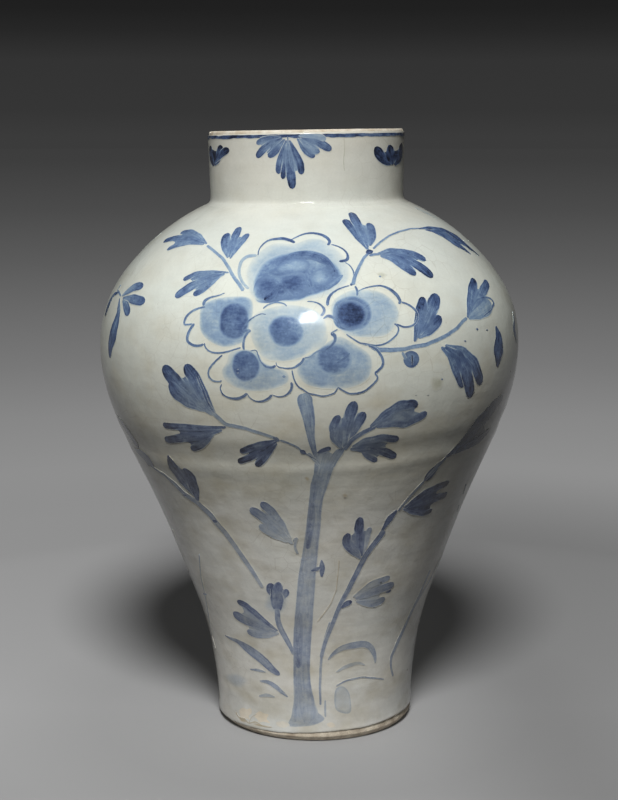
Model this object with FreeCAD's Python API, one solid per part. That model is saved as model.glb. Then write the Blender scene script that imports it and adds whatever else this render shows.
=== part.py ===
import FreeCAD, Part
import math
import os

from FreeCAD import Vector

# Large blue-and-white porcelain jar: two thrown bowls joined rim to rim at the belly, a thrown
# collar luted on top, and a coat of glaze outside, inside and under the foot.
# Millimetres, +Z up. The origin is the centre of the foot, on the surface that it stands on.

# Overall sizes, measured over the glaze
foot_radius = 76.0
belly_radius = 158.0
belly_height = 292.0
shoulder_rise = 105.0  # from the belly's widest point to the foot of the collar
neck_base_radius = 72.2
neck_rise = 53.0  # from the foot of the collar to the lip
lip_flare = 1.0  # how much wider the collar is at the lip than at its foot
lean_degrees = 0.89  # the jar slumped a little in the kiln, towards -X

# Outline of the wall from the foot to the belly. Each pair is a share of the belly's height
# and a share of the growth in radius.
lower_outline_shares = [
    (0.0, 0.0),
    (0.05, -0.006),
    (0.13, 0.018),
    (0.257, 0.094),
    (0.411, 0.275),
    (0.582, 0.505),
    (0.753, 0.776),
    (0.897, 0.958),
    (1.0, 1.0),
]
# Outline of the shoulder from the belly to the collar, as shares of the rise and of the
# narrowing in radius.
shoulder_outline_shares = [
    (0.286, 0.061),
    (0.533, 0.234),
    (0.743, 0.479),
    (0.895, 0.731),
    (1.0, 0.979),
]

# Clay walls
foot_wall = 12.0
belly_wall = 8.0
shoulder_wall = 7.0
floor_thickness = 12.0
floor_corner_radius = 20.0
seam_thickening = 2.5  # clay pressed along the inside of the belly joint
seam_thickening_reach = 16.0

# Foot
foot_bevel_width = 4.0
foot_bevel_height = 4.0
foot_ring_width = 11.0  # the flat that the jar stands on
recess_draft = 2.0
recess_depth = 8.0

# Belly joint: a ridge on the lower rim sits in a groove of the upper rim, on a bed of slip
belly_joint_height = 228.0
belly_ridge_height = 3.0
luting_thickness = 1.2

# Collar
collar_thickness = 5.7  # at its foot, over the glaze on both sides
lip_edge_radius = 1.8
collar_fillet_radius = 5.0  # coil of clay smoothed into the corner between shoulder and collar

# Glaze
outer_glaze_thickness = 0.8
inner_glaze_thickness = 0.6
base_glaze_thickness = 0.6
lip_bare_height = 3.0  # wiped off the lip
foot_bare_height = 5.5  # wiped off above the foot

# Cutting allowance below the foot, so that the leaning jar is cut flat
cut_overrun = 5.0

neck_base_height = belly_height + shoulder_rise
jar_height = neck_base_height + neck_rise
lip_radius = neck_base_radius + lip_flare
mouth_bore_radius = neck_base_radius - collar_thickness
floor_height = recess_depth + floor_thickness
clay_foot_radius = foot_radius - outer_glaze_thickness
contact_radius = clay_foot_radius - foot_bevel_width
foot_inner_radius = contact_radius - foot_ring_width
recess_radius = foot_inner_radius - recess_draft
clay_bore_radius = mouth_bore_radius + inner_glaze_thickness
halvings = 60  # steps of each search for a crossing


def point(radius, height):
    return Vector(radius, 0, height)


def line(start, end):
    return Part.LineSegment(start, end).toShape()


def arc(start, middle, end):
    return Part.Arc(start, middle, end).toShape()


def spline(points, upright_start=False, upright_end=False):
    """Smooth curve through the points, standing upright at an end where asked."""
    curve = Part.BSplineCurve()
    upright = Vector(0, 0, 1)
    flags = [False] * len(points)
    flags[0] = upright_start
    flags[-1] = upright_end
    if upright_start or upright_end:
        curve.interpolate(Points=points, Tangents=[upright] * len(points), TangentFlags=flags)
    else:
        curve.interpolate(Points=points)
    return curve


def outline_points():
    growth = belly_radius - foot_radius
    narrowing = belly_radius - neck_base_radius
    lower = [point(foot_radius + r * growth, h * belly_height) for h, r in lower_outline_shares]
    upper = [
        point(belly_radius - r * narrowing, belly_height + h * shoulder_rise)
        for h, r in shoulder_outline_shares
    ]
    return lower + upper


outline = spline(outline_points())


def crossing(low, high, is_short):
    """The value between low and high where is_short turns from true to false."""
    for _ in range(halvings):
        middle = (low + high) / 2
        if is_short(middle):
            low = middle
        else:
            high = middle
    return middle


def parameter_at(curve, height):
    """Where a curve that climbs all the way passes a height."""
    return crossing(curve.FirstParameter, curve.LastParameter, lambda at: curve.value(at).z < height)


def inset_point(height, depth):
    """The point that lies a depth inside the outline, square to it."""
    at = parameter_at(outline, height)
    tangent = outline.tangent(at)[0]
    inwards = Vector(-tangent.z, 0, tangent.x)
    return outline.value(at) + inwards * depth


def clay_wall(height):
    """Thickness of the clay at a height of the outline."""
    if height < belly_height:
        share = (height - floor_height) / (belly_height - floor_height)
        wall = foot_wall + (belly_wall - foot_wall) * min(max(share, 0.0), 1.0)
    else:
        share = (height - belly_height) / shoulder_rise
        wall = belly_wall + (shoulder_wall - belly_wall) * min(share, 1.0)
    from_joint = (height - belly_joint_height) / seam_thickening_reach
    return wall + seam_thickening * math.exp(-from_joint * from_joint)


def stretch(curve, low, high):
    """Edge of a climbing curve between two heights."""
    return curve.toShape(parameter_at(curve, low), parameter_at(curve, high))


def neck_outer_radius(height, inset):
    share = (height - neck_base_height) / neck_rise
    return neck_base_radius + share * (lip_radius - neck_base_radius) - inset


def corner_arc(curve, inset, radius):
    """Arc that rounds the corner between the shoulder and the upright collar.

    Returns its end on the shoulder, its middle and its end on the collar.
    """

    def centre_at(height):
        return point(neck_outer_radius(height, inset) + radius, height)

    def foot_of(centre):
        return curve.value(curve.parameter(centre))

    def too_low(height):
        centre = centre_at(height)
        return foot_of(centre).distanceToPoint(centre) < radius

    centre = centre_at(crossing(neck_base_height - radius, neck_base_height + 3 * radius, too_low))
    foot = foot_of(centre)
    collar_end = point(centre.x - radius, centre.z)
    halfway = (foot - centre).normalize() + (collar_end - centre).normalize()
    return foot, centre + halfway.normalize() * radius, collar_end


def face_of(edges):
    return Part.Face(Part.Wire(Part.__sortEdges__(edges)))


def turned(edges):
    """Solid of revolution of a closed section, leaning as the jar does."""
    solid = face_of(edges).revolve(Vector(0, 0, 0), Vector(0, 0, 1), 360)
    solid.rotate(Vector(0, 0, 0), Vector(0, 1, 0), -lean_degrees)
    return solid


def straight_edges(points):
    """Edges from each point to the next."""
    return [line(a, b) for a, b in zip(points, points[1:])]


def clay_outside_curve():
    heights = [p.z for p in outline_points()]
    return spline([inset_point(h, outer_glaze_thickness) for h in heights])


def inside_curve(extra_depth, collar_seat, bore_radius):
    """Inside of the wall from above the floor's rounded corner to the collar's seat."""
    start_height = floor_height + floor_corner_radius
    start = inset_point(start_height, outer_glaze_thickness + foot_wall + extra_depth)
    reach = seam_thickening_reach
    heights = [p.z for p in outline_points() if p.z > start_height + reach]
    heights = [h for h in heights[:-1] if abs(h - belly_joint_height) > reach]
    heights += [belly_joint_height - reach, belly_joint_height, belly_joint_height + reach]
    points = [point(start.x, start_height)]
    for height in sorted(heights):
        depth = outer_glaze_thickness + clay_wall(height) + extra_depth
        points.append(inset_point(height, depth))
    points.append(point(bore_radius, collar_seat))
    return spline(points, upright_start=True, upright_end=True)


clay_outside = clay_outside_curve()
shoulder_end, fillet_middle, collar_foot = corner_arc(
    clay_outside, outer_glaze_thickness, collar_fillet_radius
)
collar_seat_height = collar_foot.z
clay_inside = inside_curve(0.0, collar_seat_height, clay_bore_radius)
glaze_inside = inside_curve(inner_glaze_thickness, collar_seat_height, mouth_bore_radius)


def floor_edges(curve, lift):
    """Flat floor and its rounded corner, up to the start of an inside curve."""
    wall_foot = curve.value(curve.FirstParameter)
    radius = floor_corner_radius - lift
    floor_end = point(wall_foot.x - radius, floor_height + lift)
    swing = radius * math.sin(math.radians(45))
    middle = point(floor_end.x + swing, floor_height + lift + radius - swing)
    return [line(point(0, floor_end.z), floor_end), arc(floor_end, middle, wall_foot)]


def joint_edges(shift):
    """The ridged rim of the belly joint, moved up or down from the joint's middle."""
    height = belly_joint_height + shift
    outer = clay_outside.value(parameter_at(clay_outside, height))
    inner = clay_inside.value(parameter_at(clay_inside, height))
    ridge = (outer + inner) * 0.5 + Vector(0, 0, belly_ridge_height)
    return [line(outer, ridge), line(ridge, inner)]


def lower_body():
    top = belly_joint_height - luting_thickness / 2
    wall_foot = clay_outside.value(parameter_at(clay_outside, foot_bevel_height))
    foot = straight_edges([
        point(0, floor_height),
        point(0, recess_depth),
        point(recess_radius, recess_depth),
        point(foot_inner_radius, -cut_overrun),
        point(contact_radius, -cut_overrun),
        point(contact_radius, 0),
        wall_foot,
    ])
    inside_low = clay_inside.value(clay_inside.FirstParameter).z
    walls = [stretch(clay_outside, foot_bevel_height, top), stretch(clay_inside, inside_low, top)]
    solid = turned(foot + walls + joint_edges(-luting_thickness / 2) + floor_edges(clay_inside, 0.0))
    ground = Part.makeBox(4 * foot_radius, 4 * foot_radius, 4 * cut_overrun)
    ground.translate(Vector(-2 * foot_radius, -2 * foot_radius, -4 * cut_overrun))
    return solid.cut(ground)


def belly_luting():
    half = luting_thickness / 2
    low, high = belly_joint_height - half, belly_joint_height + half
    walls = [stretch(clay_outside, low, high), stretch(clay_inside, low, high)]
    return turned(walls + joint_edges(-half) + joint_edges(half))


def upper_body():
    low = belly_joint_height + luting_thickness / 2
    high = shoulder_end.z
    inner_top = clay_inside.value(parameter_at(clay_inside, high))
    walls = [stretch(clay_outside, low, high), stretch(clay_inside, low, high)]
    return turned(walls + joint_edges(luting_thickness / 2) + [line(shoulder_end, inner_top)])


def neck_luting():
    low, high = shoulder_end.z, collar_seat_height
    inner_low = clay_inside.value(parameter_at(clay_inside, low))
    inner_high = point(clay_bore_radius, high)
    return turned([
        line(inner_low, shoulder_end),
        arc(shoulder_end, fillet_middle, collar_foot),
        line(collar_foot, inner_high),
        clay_inside.toShape(parameter_at(clay_inside, low), clay_inside.LastParameter),
    ])


def collar():
    shoulder_of_lip = jar_height - lip_edge_radius
    outer_edge = point(neck_outer_radius(shoulder_of_lip, outer_glaze_thickness), shoulder_of_lip)
    inner_edge = point(clay_bore_radius, shoulder_of_lip)
    outer_top = point(outer_edge.x - lip_edge_radius, jar_height)
    inner_top = point(inner_edge.x + lip_edge_radius, jar_height)
    swing = lip_edge_radius * math.sin(math.radians(45))
    outer_middle = point(outer_top.x + swing, shoulder_of_lip + swing)
    inner_middle = point(inner_top.x - swing, shoulder_of_lip + swing)
    return turned([
        line(point(clay_bore_radius, collar_seat_height), collar_foot),
        line(collar_foot, outer_edge),
        arc(outer_edge, outer_middle, outer_top),
        line(outer_top, inner_top),
        arc(inner_top, inner_middle, inner_edge),
        line(inner_edge, point(clay_bore_radius, collar_seat_height)),
    ])


def outer_glaze():
    low = foot_bare_height
    high = jar_height - lip_bare_height
    inset = outer_glaze_thickness
    glaze_foot, glaze_middle, glaze_collar = corner_arc(outline, 0.0, collar_fillet_radius - inset)
    outer_low = outline.value(parameter_at(outline, low))
    inner_low = clay_outside.value(parameter_at(clay_outside, low))
    outer_high = point(neck_outer_radius(high, 0.0), high)
    inner_high = point(neck_outer_radius(high, inset), high)
    return turned([
        line(inner_low, outer_low),
        stretch(outline, low, glaze_foot.z),
        arc(glaze_foot, glaze_middle, glaze_collar),
        line(glaze_collar, outer_high),
        line(outer_high, inner_high),
        line(inner_high, collar_foot),
        arc(collar_foot, fillet_middle, shoulder_end),
        stretch(clay_outside, low, shoulder_end.z),
    ])


def inner_glaze():
    high = jar_height - lip_bare_height
    bore_low = point(mouth_bore_radius, collar_seat_height)
    clay_low = point(clay_bore_radius, collar_seat_height)
    bore_high = point(mouth_bore_radius, high)
    clay_high = point(clay_bore_radius, high)
    axis = line(point(0, floor_height), point(0, floor_height + inner_glaze_thickness))
    return turned(
        [axis, clay_inside.toShape(), glaze_inside.toShape()]
        + floor_edges(clay_inside, 0.0)
        + floor_edges(glaze_inside, inner_glaze_thickness)
        + [line(clay_low, clay_high), line(clay_high, bore_high), line(bore_high, bore_low)]
    )


def base_glaze():
    low = recess_depth - base_glaze_thickness
    slope = (foot_inner_radius - recess_radius) / (recess_depth + cut_overrun)
    corners = [
        point(0, recess_depth),
        point(0, low),
        point(recess_radius + slope * base_glaze_thickness, low),
        point(recess_radius, recess_depth),
        point(0, recess_depth),
    ]
    return turned(straight_edges(corners))


pieces = {
    "lower_body": lower_body,
    "belly_luting": belly_luting,
    "upper_body": upper_body,
    "neck_luting": neck_luting,
    "collar": collar,
    "outer_glaze": outer_glaze,
    "inner_glaze": inner_glaze,
    "base_glaze": base_glaze,
}

os.makedirs("parts", exist_ok=True)
for name, build in pieces.items():
    shape = build()
    solids = shape.Solids
    result = solids[0] if len(solids) == 1 else Part.makeCompound(solids)
    result.exportStep("parts/" + name + ".step")
    box = result.BoundBox
    print(name, len(solids), result.isValid(), round(result.Volume), round(box.ZMin, 2), round(box.ZMax, 2))
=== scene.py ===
import bpy
import bmesh
import math
import random
from mathutils import Matrix, Vector
from mathutils.bvhtree import BVHTree


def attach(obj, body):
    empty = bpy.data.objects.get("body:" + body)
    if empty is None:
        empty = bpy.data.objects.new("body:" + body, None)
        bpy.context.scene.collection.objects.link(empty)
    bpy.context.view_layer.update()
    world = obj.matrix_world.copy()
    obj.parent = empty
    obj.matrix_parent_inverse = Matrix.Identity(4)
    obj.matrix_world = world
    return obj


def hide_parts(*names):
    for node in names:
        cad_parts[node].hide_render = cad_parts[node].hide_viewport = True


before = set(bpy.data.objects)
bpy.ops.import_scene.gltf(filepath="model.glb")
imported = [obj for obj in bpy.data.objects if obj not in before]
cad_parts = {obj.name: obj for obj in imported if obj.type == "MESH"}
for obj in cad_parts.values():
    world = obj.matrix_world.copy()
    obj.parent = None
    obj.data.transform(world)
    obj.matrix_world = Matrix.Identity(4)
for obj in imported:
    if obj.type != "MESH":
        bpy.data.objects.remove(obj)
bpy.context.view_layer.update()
scene = bpy.context.scene
random.seed(11)

# The camera that was fitted to the photograph. Painted points are given as its pixels.
view = {
    "place": Vector((-0.00475, -1.1996, 0.44505)),
    "downDegrees": 9.42,
    "lens": 71.41,
    "sensor": 36.0,
    "centre": (309.0, 400.0),
    "imageHigh": 800,
}
focalPixels = view["lens"] / view["sensor"] * view["imageHigh"]
tip = math.radians(view["downDegrees"])
forwards = Vector((0, math.cos(tip), -math.sin(tip)))
upwards = Vector((0, math.sin(tip), math.cos(tip)))
sideways = Vector((1, 0, 0))

# The jar leans a little to the left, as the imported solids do.
leanAngle = math.radians(-0.89)
lean = Matrix.Rotation(leanAngle, 4, "Y")
leanTurn = lean.to_3x3()
upright = lean.inverted()


# Node helpers, for materials and shape trees alike. All but addNode find the tree by its sockets.
def addNode(tree, kind, wires=None, **settings):
    node = tree.nodes.new(kind)
    for name, value in settings.items():
        setattr(node, name, value)
    for name, source in (wires or {}).items():
        if isinstance(source, bpy.types.NodeSocket):
            tree.links.new(source, node.inputs[name])
        else:
            node.inputs[name].default_value = source
    return node


def fed(kind, wires, output=0, **settings):
    tree = next(source.id_data for source in wires.values() if isinstance(source, bpy.types.NodeSocket))
    return addNode(tree, kind, wires, **settings).outputs[output]


def connect(source, socket):
    source.id_data.links.new(source, socket)


def calc(operation, *values):
    return fed("ShaderNodeMath", dict(enumerate(values)), operation=operation)


def plus(first, second):
    return calc("ADD", first, second)


def minus(first, second):
    return calc("SUBTRACT", first, second)


def times(first, *others):
    for other in others:
        first = calc("MULTIPLY", first, other)
    return first


def weighed(total, *parts):  # total + value * weight for each part
    for value, weight in parts:
        total = calc("MULTIPLY_ADD", value, weight, total)
    return total


def remap(value, low, high, newLow=0.0, newHigh=1.0, kind="LINEAR"):
    wires = {"Value": value, "From Min": low, "From Max": high, "To Min": newLow, "To Max": newHigh}
    return fed("ShaderNodeMapRange", wires, interpolation_type=kind)


def smoothRemap(value, low, high, newLow=0.0, newHigh=1.0):
    return remap(value, low, high, newLow, newHigh, "SMOOTHSTEP")


def bell(away, sharpness):  # 1 where away is 0, and less to both sides
    return calc("EXPONENT", times(away, away, sharpness))


def mixed(share, first, second):
    return fed("ShaderNodeMix", {0: share, 2: first, 3: second})


def vectorCalc(operation, *values, output=0):
    return fed("ShaderNodeVectorMath", dict(enumerate(values)), output, operation=operation)


def moved(place, direction, distance):
    step = fed("ShaderNodeVectorMath", {0: direction, "Scale": distance}, operation="SCALE")
    return vectorCalc("ADD", place, step)


def noise(vector, scale, detail=2.0, seed=0.0):
    wires = {"Vector": vector, "Scale": scale, "Detail": detail, "W": seed}
    return fed("ShaderNodeTexNoise", wires, noise_dimensions="4D")


def swing(vector, scale, detail=2.0, seed=0.0):  # noise about zero, from -1 to 1
    return calc("MULTIPLY_ADD", noise(vector, scale, detail, seed), 2.0, -1.0)


def joined(x, y, z):
    return fed("ShaderNodeCombineXYZ", {0: x, 1: y, 2: z})


def axes(vector):
    return fed("ShaderNodeSeparateXYZ", {0: vector}).node.outputs


def mixColour(factor, first, second, blend="MIX"):
    return fed("ShaderNodeMix", {0: factor, 6: first, 7: second}, 2, data_type="RGBA", blend_type=blend)


def tinted(colour, tint, factor=1.0):
    return mixColour(factor, colour, tint, "MULTIPLY")


def shaded(colour, shade):
    return tinted(colour, joined(shade, shade, shade))


def ramp(factor, stops):
    output = fed("ShaderNodeValToRGB", {0: factor})
    marks = output.node.color_ramp.elements
    for mark, (place, colour) in zip(marks, (stops[0], stops[-1])):
        mark.position, mark.color = place, (*colour, 1)
    for place, colour in stops[1:-1]:
        marks.new(place).color = (*colour, 1)
    return output


def grey(value):
    return (value, value, value)


# Materials. All the glazed pieces share one glaze, so paint and bare glaze meet without a step.
# Noise is given as (scale, detail, seed). A range is (low, high), then what it becomes at low and high.
glazeLook = {
    # These colours are partly the glaze's own tone and partly painted light and shade: the lower body up to
    # 0.18 m is painted lighter, the shoulder and neck darker.
    "colours": [  # height above the foot in metres, colour there
        (0.00, (0.66, 0.655, 0.61)), (0.06, (0.76, 0.745, 0.68)), (0.12, (0.80, 0.785, 0.715)),
        (0.18, (0.79, 0.775, 0.70)), (0.215, (0.60, 0.59, 0.51)), (0.255, (0.58, 0.575, 0.50)),
        (0.30, (0.62, 0.635, 0.565)), (0.34, (0.655, 0.685, 0.62)), (0.38, (0.625, 0.65, 0.595)),
        (0.42, (0.59, 0.585, 0.52)), (0.45, (0.57, 0.56, 0.495))],
    "top": 0.46,
    "patches": (16.0, 3.0, 1.0), "patchStrength": 0.75,
    "patchTones": [(0.0, (1.06, 1.0, 0.93)), (0.5, grey(1.0)), (1.0, (0.93, 0.99, 1.02))],
    "marks": [  # pressed in x and y, pressed in z, noise, strength, livelier below the belly
        (0.05, 1.0, (190.0, 3.0, 2.0), 0.055, True),  # throwing lines
        (1.0, 0.08, (70.0, 3.0, 3.0), 0.045, False),  # runs of glaze
        (1.0, 1.0, (110.0, 4.0, 4.0), 0.10, True),  # mottling
        (1.0, 1.0, (750.0, 2.0, 5.0), 0.06, False),  # grain
    ],
    "lively": (0.30, 0.22, 0.7, 1.6),
    "stains": (34.0, 6.0, 10.0), "stainStretch": (1.0, 1.0, 1.5), "stainRange": (0.46, 0.74),
    "stainHeights": (0.36, 0.24, 0.16, 0.60), "stainColour": (0.43, 0.375, 0.245, 1),
    "pits": (480.0, 3.0, 11.0), "pitRange": (0.66, 0.80, 0.0, 0.30), "pitColour": (0.30, 0.26, 0.18, 1),
    "jointSlope": -0.03,
    "jointBands": [(0.2395, -26000.0, -0.25), (0.2245, -160000.0, 0.14)],  # height, sharpness, change
    "crackleCells": 95.0, "crackleLine": (0.0, 0.022, 0.30, 0.0), "crackleColour": (0.24, 0.19, 0.12, 1),
    "cracklePlaces": (13.0, 3.0, 6.0), "crackleRange": (0.48, 0.66),
    "speckCells": 42.0, "speckSizes": (0.82, 1.0, 0.0, 0.055), "speckEdge": (0.0, 0.018, 0.0, 0.7),
    "speckColour": (0.16, 0.13, 0.08, 1),
}
skinLook = {  # the glaze's gloss and its fine relief
    "gloss": (60.0, 4.0, 7.0), "roughness": (0.3, 0.7, 0.12, 0.24),
    "skin": (320.0, 3.0, 9.0),
    "lines": (260.0, 2.0, 8.0), "linePress": 0.04, "lineStrength": 0.6,
    "dents": (62.0, 3.0, 16.0), "dentStrength": 5.0,
    "runs": (95.0, 2.0, 17.0), "runPress": 0.25, "runHeights": (0.01, 0.07, 3.5, 0.0),  # above the foot
    "strength": 0.35, "relief": 0.00025, "refraction": 1.5,
}
# How much light each density of cobalt lets through
cobaltLook = [
    (0.00, (1.0, 1.0, 1.0)), (0.17, (0.72, 0.79, 0.90)), (0.34, (0.44, 0.53, 0.73)),
    (0.52, (0.24, 0.31, 0.52)), (0.70, (0.125, 0.17, 0.35)), (0.88, (0.06, 0.08, 0.18)),
    (1.00, (0.03, 0.036, 0.075)),
]
# Cobalt is a clearer blue high on the jar and greyer low down
hueLook = [(0.0, (1.05, 1.02, 0.99)), (0.35, (1.10, 1.05, 1.0)), (0.50, (1.04, 1.02, 0.98)),
           (0.64, (0.86, 0.98, 1.08)), (1.0, (0.84, 0.97, 1.06))]
hueRange = (0.08, 0.40)
ageLook = [(0.0, (1.0, 1.0, 1.0)), (0.5, (0.66, 0.56, 0.40)), (1.0, (0.26, 0.19, 0.12))]
flakeLook = [(0.0, (1.0, 1.0, 1.0)), (0.5, (1.05, 1.0, 0.92)), (1.0, (1.16, 1.05, 0.92))]
strokeLook = {
    "hairStretch": 0.09, "hairs": (0.95, 3.0), "streakStrength": 0.42,
    "sidePool": (0.50, 0.85), "poolGirths": (0.9, 2.2), "poolStrength": 0.24,
    "endPool": (0.62, 0.95), "endGirths": (1.1, 2.4), "endStrength": 0.18,
    "cloud": (190.0, 4.0, 12.0), "cloudStrength": 0.45,
    "clots": (420.0, 3.0, 15.0), "clotRange": (0.56, 0.74), "clotStrength": 0.25,
    "grain": (900.0, 2.0, 13.0), "grainStrength": 0.20,
    "base": 0.84,
    "grainAtEdge": 0.12, "bleed": (0.22, 0.12, 0.75), "bleedOnPaint": 1.3,  # growth with girth, least, most
}
washLook = {
    "wander": (120.0, 4.0), "wanderStrength": 0.16, "rimEnd": 0.98,
    "pools": (85.0, 5.0), "poolSeed": 3.0, "poolStrength": 0.62,
    "brush": (210.0, 3.0), "brushStretch": (1.0, 1.0, 2.6), "brushStrength": 0.30,
    "grain": (620.0, 3.0, 14.0), "grainStrength": 0.26,
    "border": (-0.5, 0.93),
}
clayLook = {
    "blotch": (140.0, 5.0, 1.0), "blotchRange": (0.35, 0.68), "blotchRelief": 1.5,
    "grains": (1100.0, 3.0, 2.0), "grainRange": (0.55, 0.75), "grainStrength": 0.6,
    "grainColour": (0.10, 0.075, 0.05, 1), "roughness": (0.2, 0.8, 0.65, 0.95),
    "strength": 0.7, "relief": 0.0005,
}


def newMaterial(name):
    material = bpy.data.materials.new(name)
    material.use_nodes = True
    tree = material.node_tree
    tree.nodes.clear()
    shader = addNode(tree, "ShaderNodeBsdfPrincipled")
    end = addNode(tree, "ShaderNodeOutputMaterial")
    connect(shader.outputs[0], end.inputs[0])
    return tree, shader


def objectPlace(tree):
    return addNode(tree, "ShaderNodeTexCoord").outputs["Object"]


def addBump(shader, height, strength, distance):
    bump = fed("ShaderNodeBump", {"Height": height, "Strength": strength, "Distance": distance})
    connect(bump, shader.inputs["Normal"])


def pressed(place, flat, tall):  # makes marks longer: round the jar with flat, downwards with tall
    return vectorCalc("MULTIPLY", place, (flat, flat, tall))


def glazeColour(place):
    look = glazeLook
    x, y, z = axes(place)
    # Colour by height, with painted light on the lower body and painted shade on the shoulder and neck
    stops = [(height / look["top"], colour) for height, colour in look["colours"]]
    colour = ramp(calc("DIVIDE", z, look["top"]), stops)
    # Large soft patches, warmer and cooler
    patches = calc("MULTIPLY_ADD", swing(place, *look["patches"]), 0.5, 0.5)
    colour = tinted(colour, ramp(patches, look["patchTones"]), look["patchStrength"])
    lively, shade = remap(z, *look["lively"]), 1.0
    for flat, tall, grain, strength, livelier in look["marks"]:
        mark = swing(pressed(place, flat, tall), *grain)
        shade = weighed(shade, (times(mark, lively) if livelier else mark, strength))
    # Yellow-brown stains that came through the glaze, mostly below the belly
    stains = noise(vectorCalc("MULTIPLY", place, look["stainStretch"]), *look["stains"])
    stained = times(remap(stains, *look["stainRange"]), remap(z, *look["stainHeights"]))
    colour = mixColour(stained, colour, look["stainColour"])
    pits = remap(noise(place, *look["pits"]), *look["pitRange"])
    colour = mixColour(pits, colour, look["pitColour"])
    # The belly joint shows as a slightly darker band with a light line under it
    slope = calc("MULTIPLY_ADD", x, look["jointSlope"], z)
    for height, sharpness, change in look["jointBands"]:
        shade = weighed(shade, (bell(minus(slope, height), sharpness), change))
    colour = shaded(colour, shade)
    # Faint crackle, in places only
    wires = {"Vector": place, "Scale": look["crackleCells"]}
    cracks = fed("ShaderNodeTexVoronoi", wires, "Distance", feature="DISTANCE_TO_EDGE")
    mask = remap(noise(place, *look["cracklePlaces"]), *look["crackleRange"])
    crackle = times(remap(cracks, *look["crackleLine"]), mask)
    colour = mixColour(crackle, colour, look["crackleColour"])
    # Iron specks
    cell = fed("ShaderNodeTexVoronoi", {"Vector": place, "Scale": look["speckCells"]}).node.outputs
    limit = remap(axes(cell["Color"])[0], *look["speckSizes"])
    speck = remap(minus(limit, cell["Distance"]), *look["speckEdge"])
    return mixColour(speck, colour, look["speckColour"])


def glazeFinish(shader, place, colour):
    look = skinLook
    connect(colour, shader.inputs["Base Color"])
    rough = remap(noise(place, *look["gloss"]), *look["roughness"])
    connect(rough, shader.inputs["Roughness"])
    lines = noise(pressed(place, look["linePress"], 1.0), *look["lines"])
    runs = noise(pressed(place, 1.0, look["runPress"]), *look["runs"])
    height = weighed(
        noise(place, *look["skin"]), (lines, look["lineStrength"]),
        (noise(place, *look["dents"]), look["dentStrength"]),
        (runs, remap(axes(place)[2], *look["runHeights"])))
    addBump(shader, height, look["strength"], look["relief"])
    shader.inputs["IOR"].default_value = look["refraction"]


def glazeMaterial(name, warmth=(1.0, 1.0, 1.0)):
    tree, shader = newMaterial(name)
    place = objectPlace(tree)
    glazeFinish(shader, place, tinted(glazeColour(place), (*warmth, 1)))
    return bpy.data.materials[name]


def attributes(tree, *names):
    return [addNode(tree, "ShaderNodeAttribute", attribute_name=name).outputs["Fac"] for name in names]


def stainMaterial(name, density, colours):  # density is a function that adds its nodes to the tree
    tree, shader = newMaterial(name)
    place = objectPlace(tree)
    depth = density(tree, place)
    height = calc("DIVIDE", axes(place)[2], glazeLook["top"])
    hue = ramp(height, hueLook)
    stain = tinted(ramp(depth, colours), hue, remap(depth, *hueRange))
    glazeFinish(shader, place, tinted(glazeColour(place), stain))
    return bpy.data.materials[name]


def strokeDensity(tree, place):
    look = strokeLook
    # Girth is half the stroke's width and millis the distance along it, both in millimetres
    across, along, load, seed, girth, millis, groundMinus, groundPlus = attributes(
        tree, "across", "along", "load", "seed", "girth", "millis", "groundMinus", "groundPlus")
    # Brush hairs leave long streaks, and wet paint pools along the sides and at the tip
    hairs = joined(times(millis, look["hairStretch"]), times(across, girth), seed)
    side = calc("ABSOLUTE", across)
    sidePool = smoothRemap(side, *look["sidePool"])
    endPool = smoothRemap(along, *look["endPool"])
    clots = remap(noise(place, *look["clots"]), *look["clotRange"])
    grain = swing(place, *look["grain"])
    change = weighed(
        times(swing(hairs, *look["hairs"], seed), look["streakStrength"]),
        (times(sidePool, remap(girth, *look["poolGirths"])), look["poolStrength"]),
        (times(endPool, remap(girth, *look["endGirths"])), look["endStrength"]),
        (swing(place, *look["cloud"]), look["cloudStrength"]), (clots, look["clotStrength"]),
        (grain, look["grainStrength"]))
    density = times(load, plus(change, look["base"]))
    # The edge bleeds a little, more so where the brush was broad or the paint beneath still wet
    beneath = mixed(calc("MULTIPLY_ADD", across, 0.5, 0.5), groundMinus, groundPlus)
    inside = weighed(times(minus(1.0, side), girth), (grain, look["grainAtEdge"]))
    growth, least, most = look["bleed"]
    bleed = calc("MINIMUM", calc("MULTIPLY_ADD", girth, growth, least), most)
    bleed = weighed(bleed, (times(beneath, girth), look["bleedOnPaint"]))
    return mixed(smoothRemap(inside, 0.0, bleed), beneath, density)


def washDensity(tree, place):
    look = washLook
    radial, load, rim, soft, seed, beneath = attributes(
        tree, "radial", "load", "rim", "soft", "seed", "ground")
    wander = times(swing(place, *look["wander"], seed), look["wanderStrength"])
    fade = smoothRemap(plus(radial, wander), soft, look["rimEnd"])
    pools = swing(place, *look["pools"], plus(seed, look["poolSeed"]))
    brush = swing(vectorCalc("MULTIPLY", place, look["brushStretch"]), *look["brush"], seed)
    change = weighed(
        1.0, (pools, look["poolStrength"]), (brush, look["brushStrength"]),
        (swing(place, *look["grain"]), look["grainStrength"]))
    density = times(mixed(fade, load, rim), change)
    border = calc("MULTIPLY_ADD", beneath, *look["border"])
    return mixed(smoothRemap(radial, border, 1.0, 1.0, 0.0), beneath, density)


def clayMaterial(name, pale, dark, grit=1.0):
    look = clayLook
    tree, shader = newMaterial(name)
    place = objectPlace(tree)
    blotch = noise(place, *look["blotch"])
    grains = noise(place, *look["grains"])
    colour = mixColour(remap(blotch, *look["blotchRange"]), (*pale, 1), (*dark, 1))
    gritty = remap(grains, *look["grainRange"], 0.0, look["grainStrength"] * grit)
    connect(mixColour(gritty, colour, look["grainColour"]), shader.inputs["Base Color"])
    connect(remap(grains, *look["roughness"]), shader.inputs["Roughness"])
    height = weighed(grains, (blotch, look["blotchRelief"]))
    addBump(shader, height, look["strength"] * grit, look["relief"])
    return bpy.data.materials[name]


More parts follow.
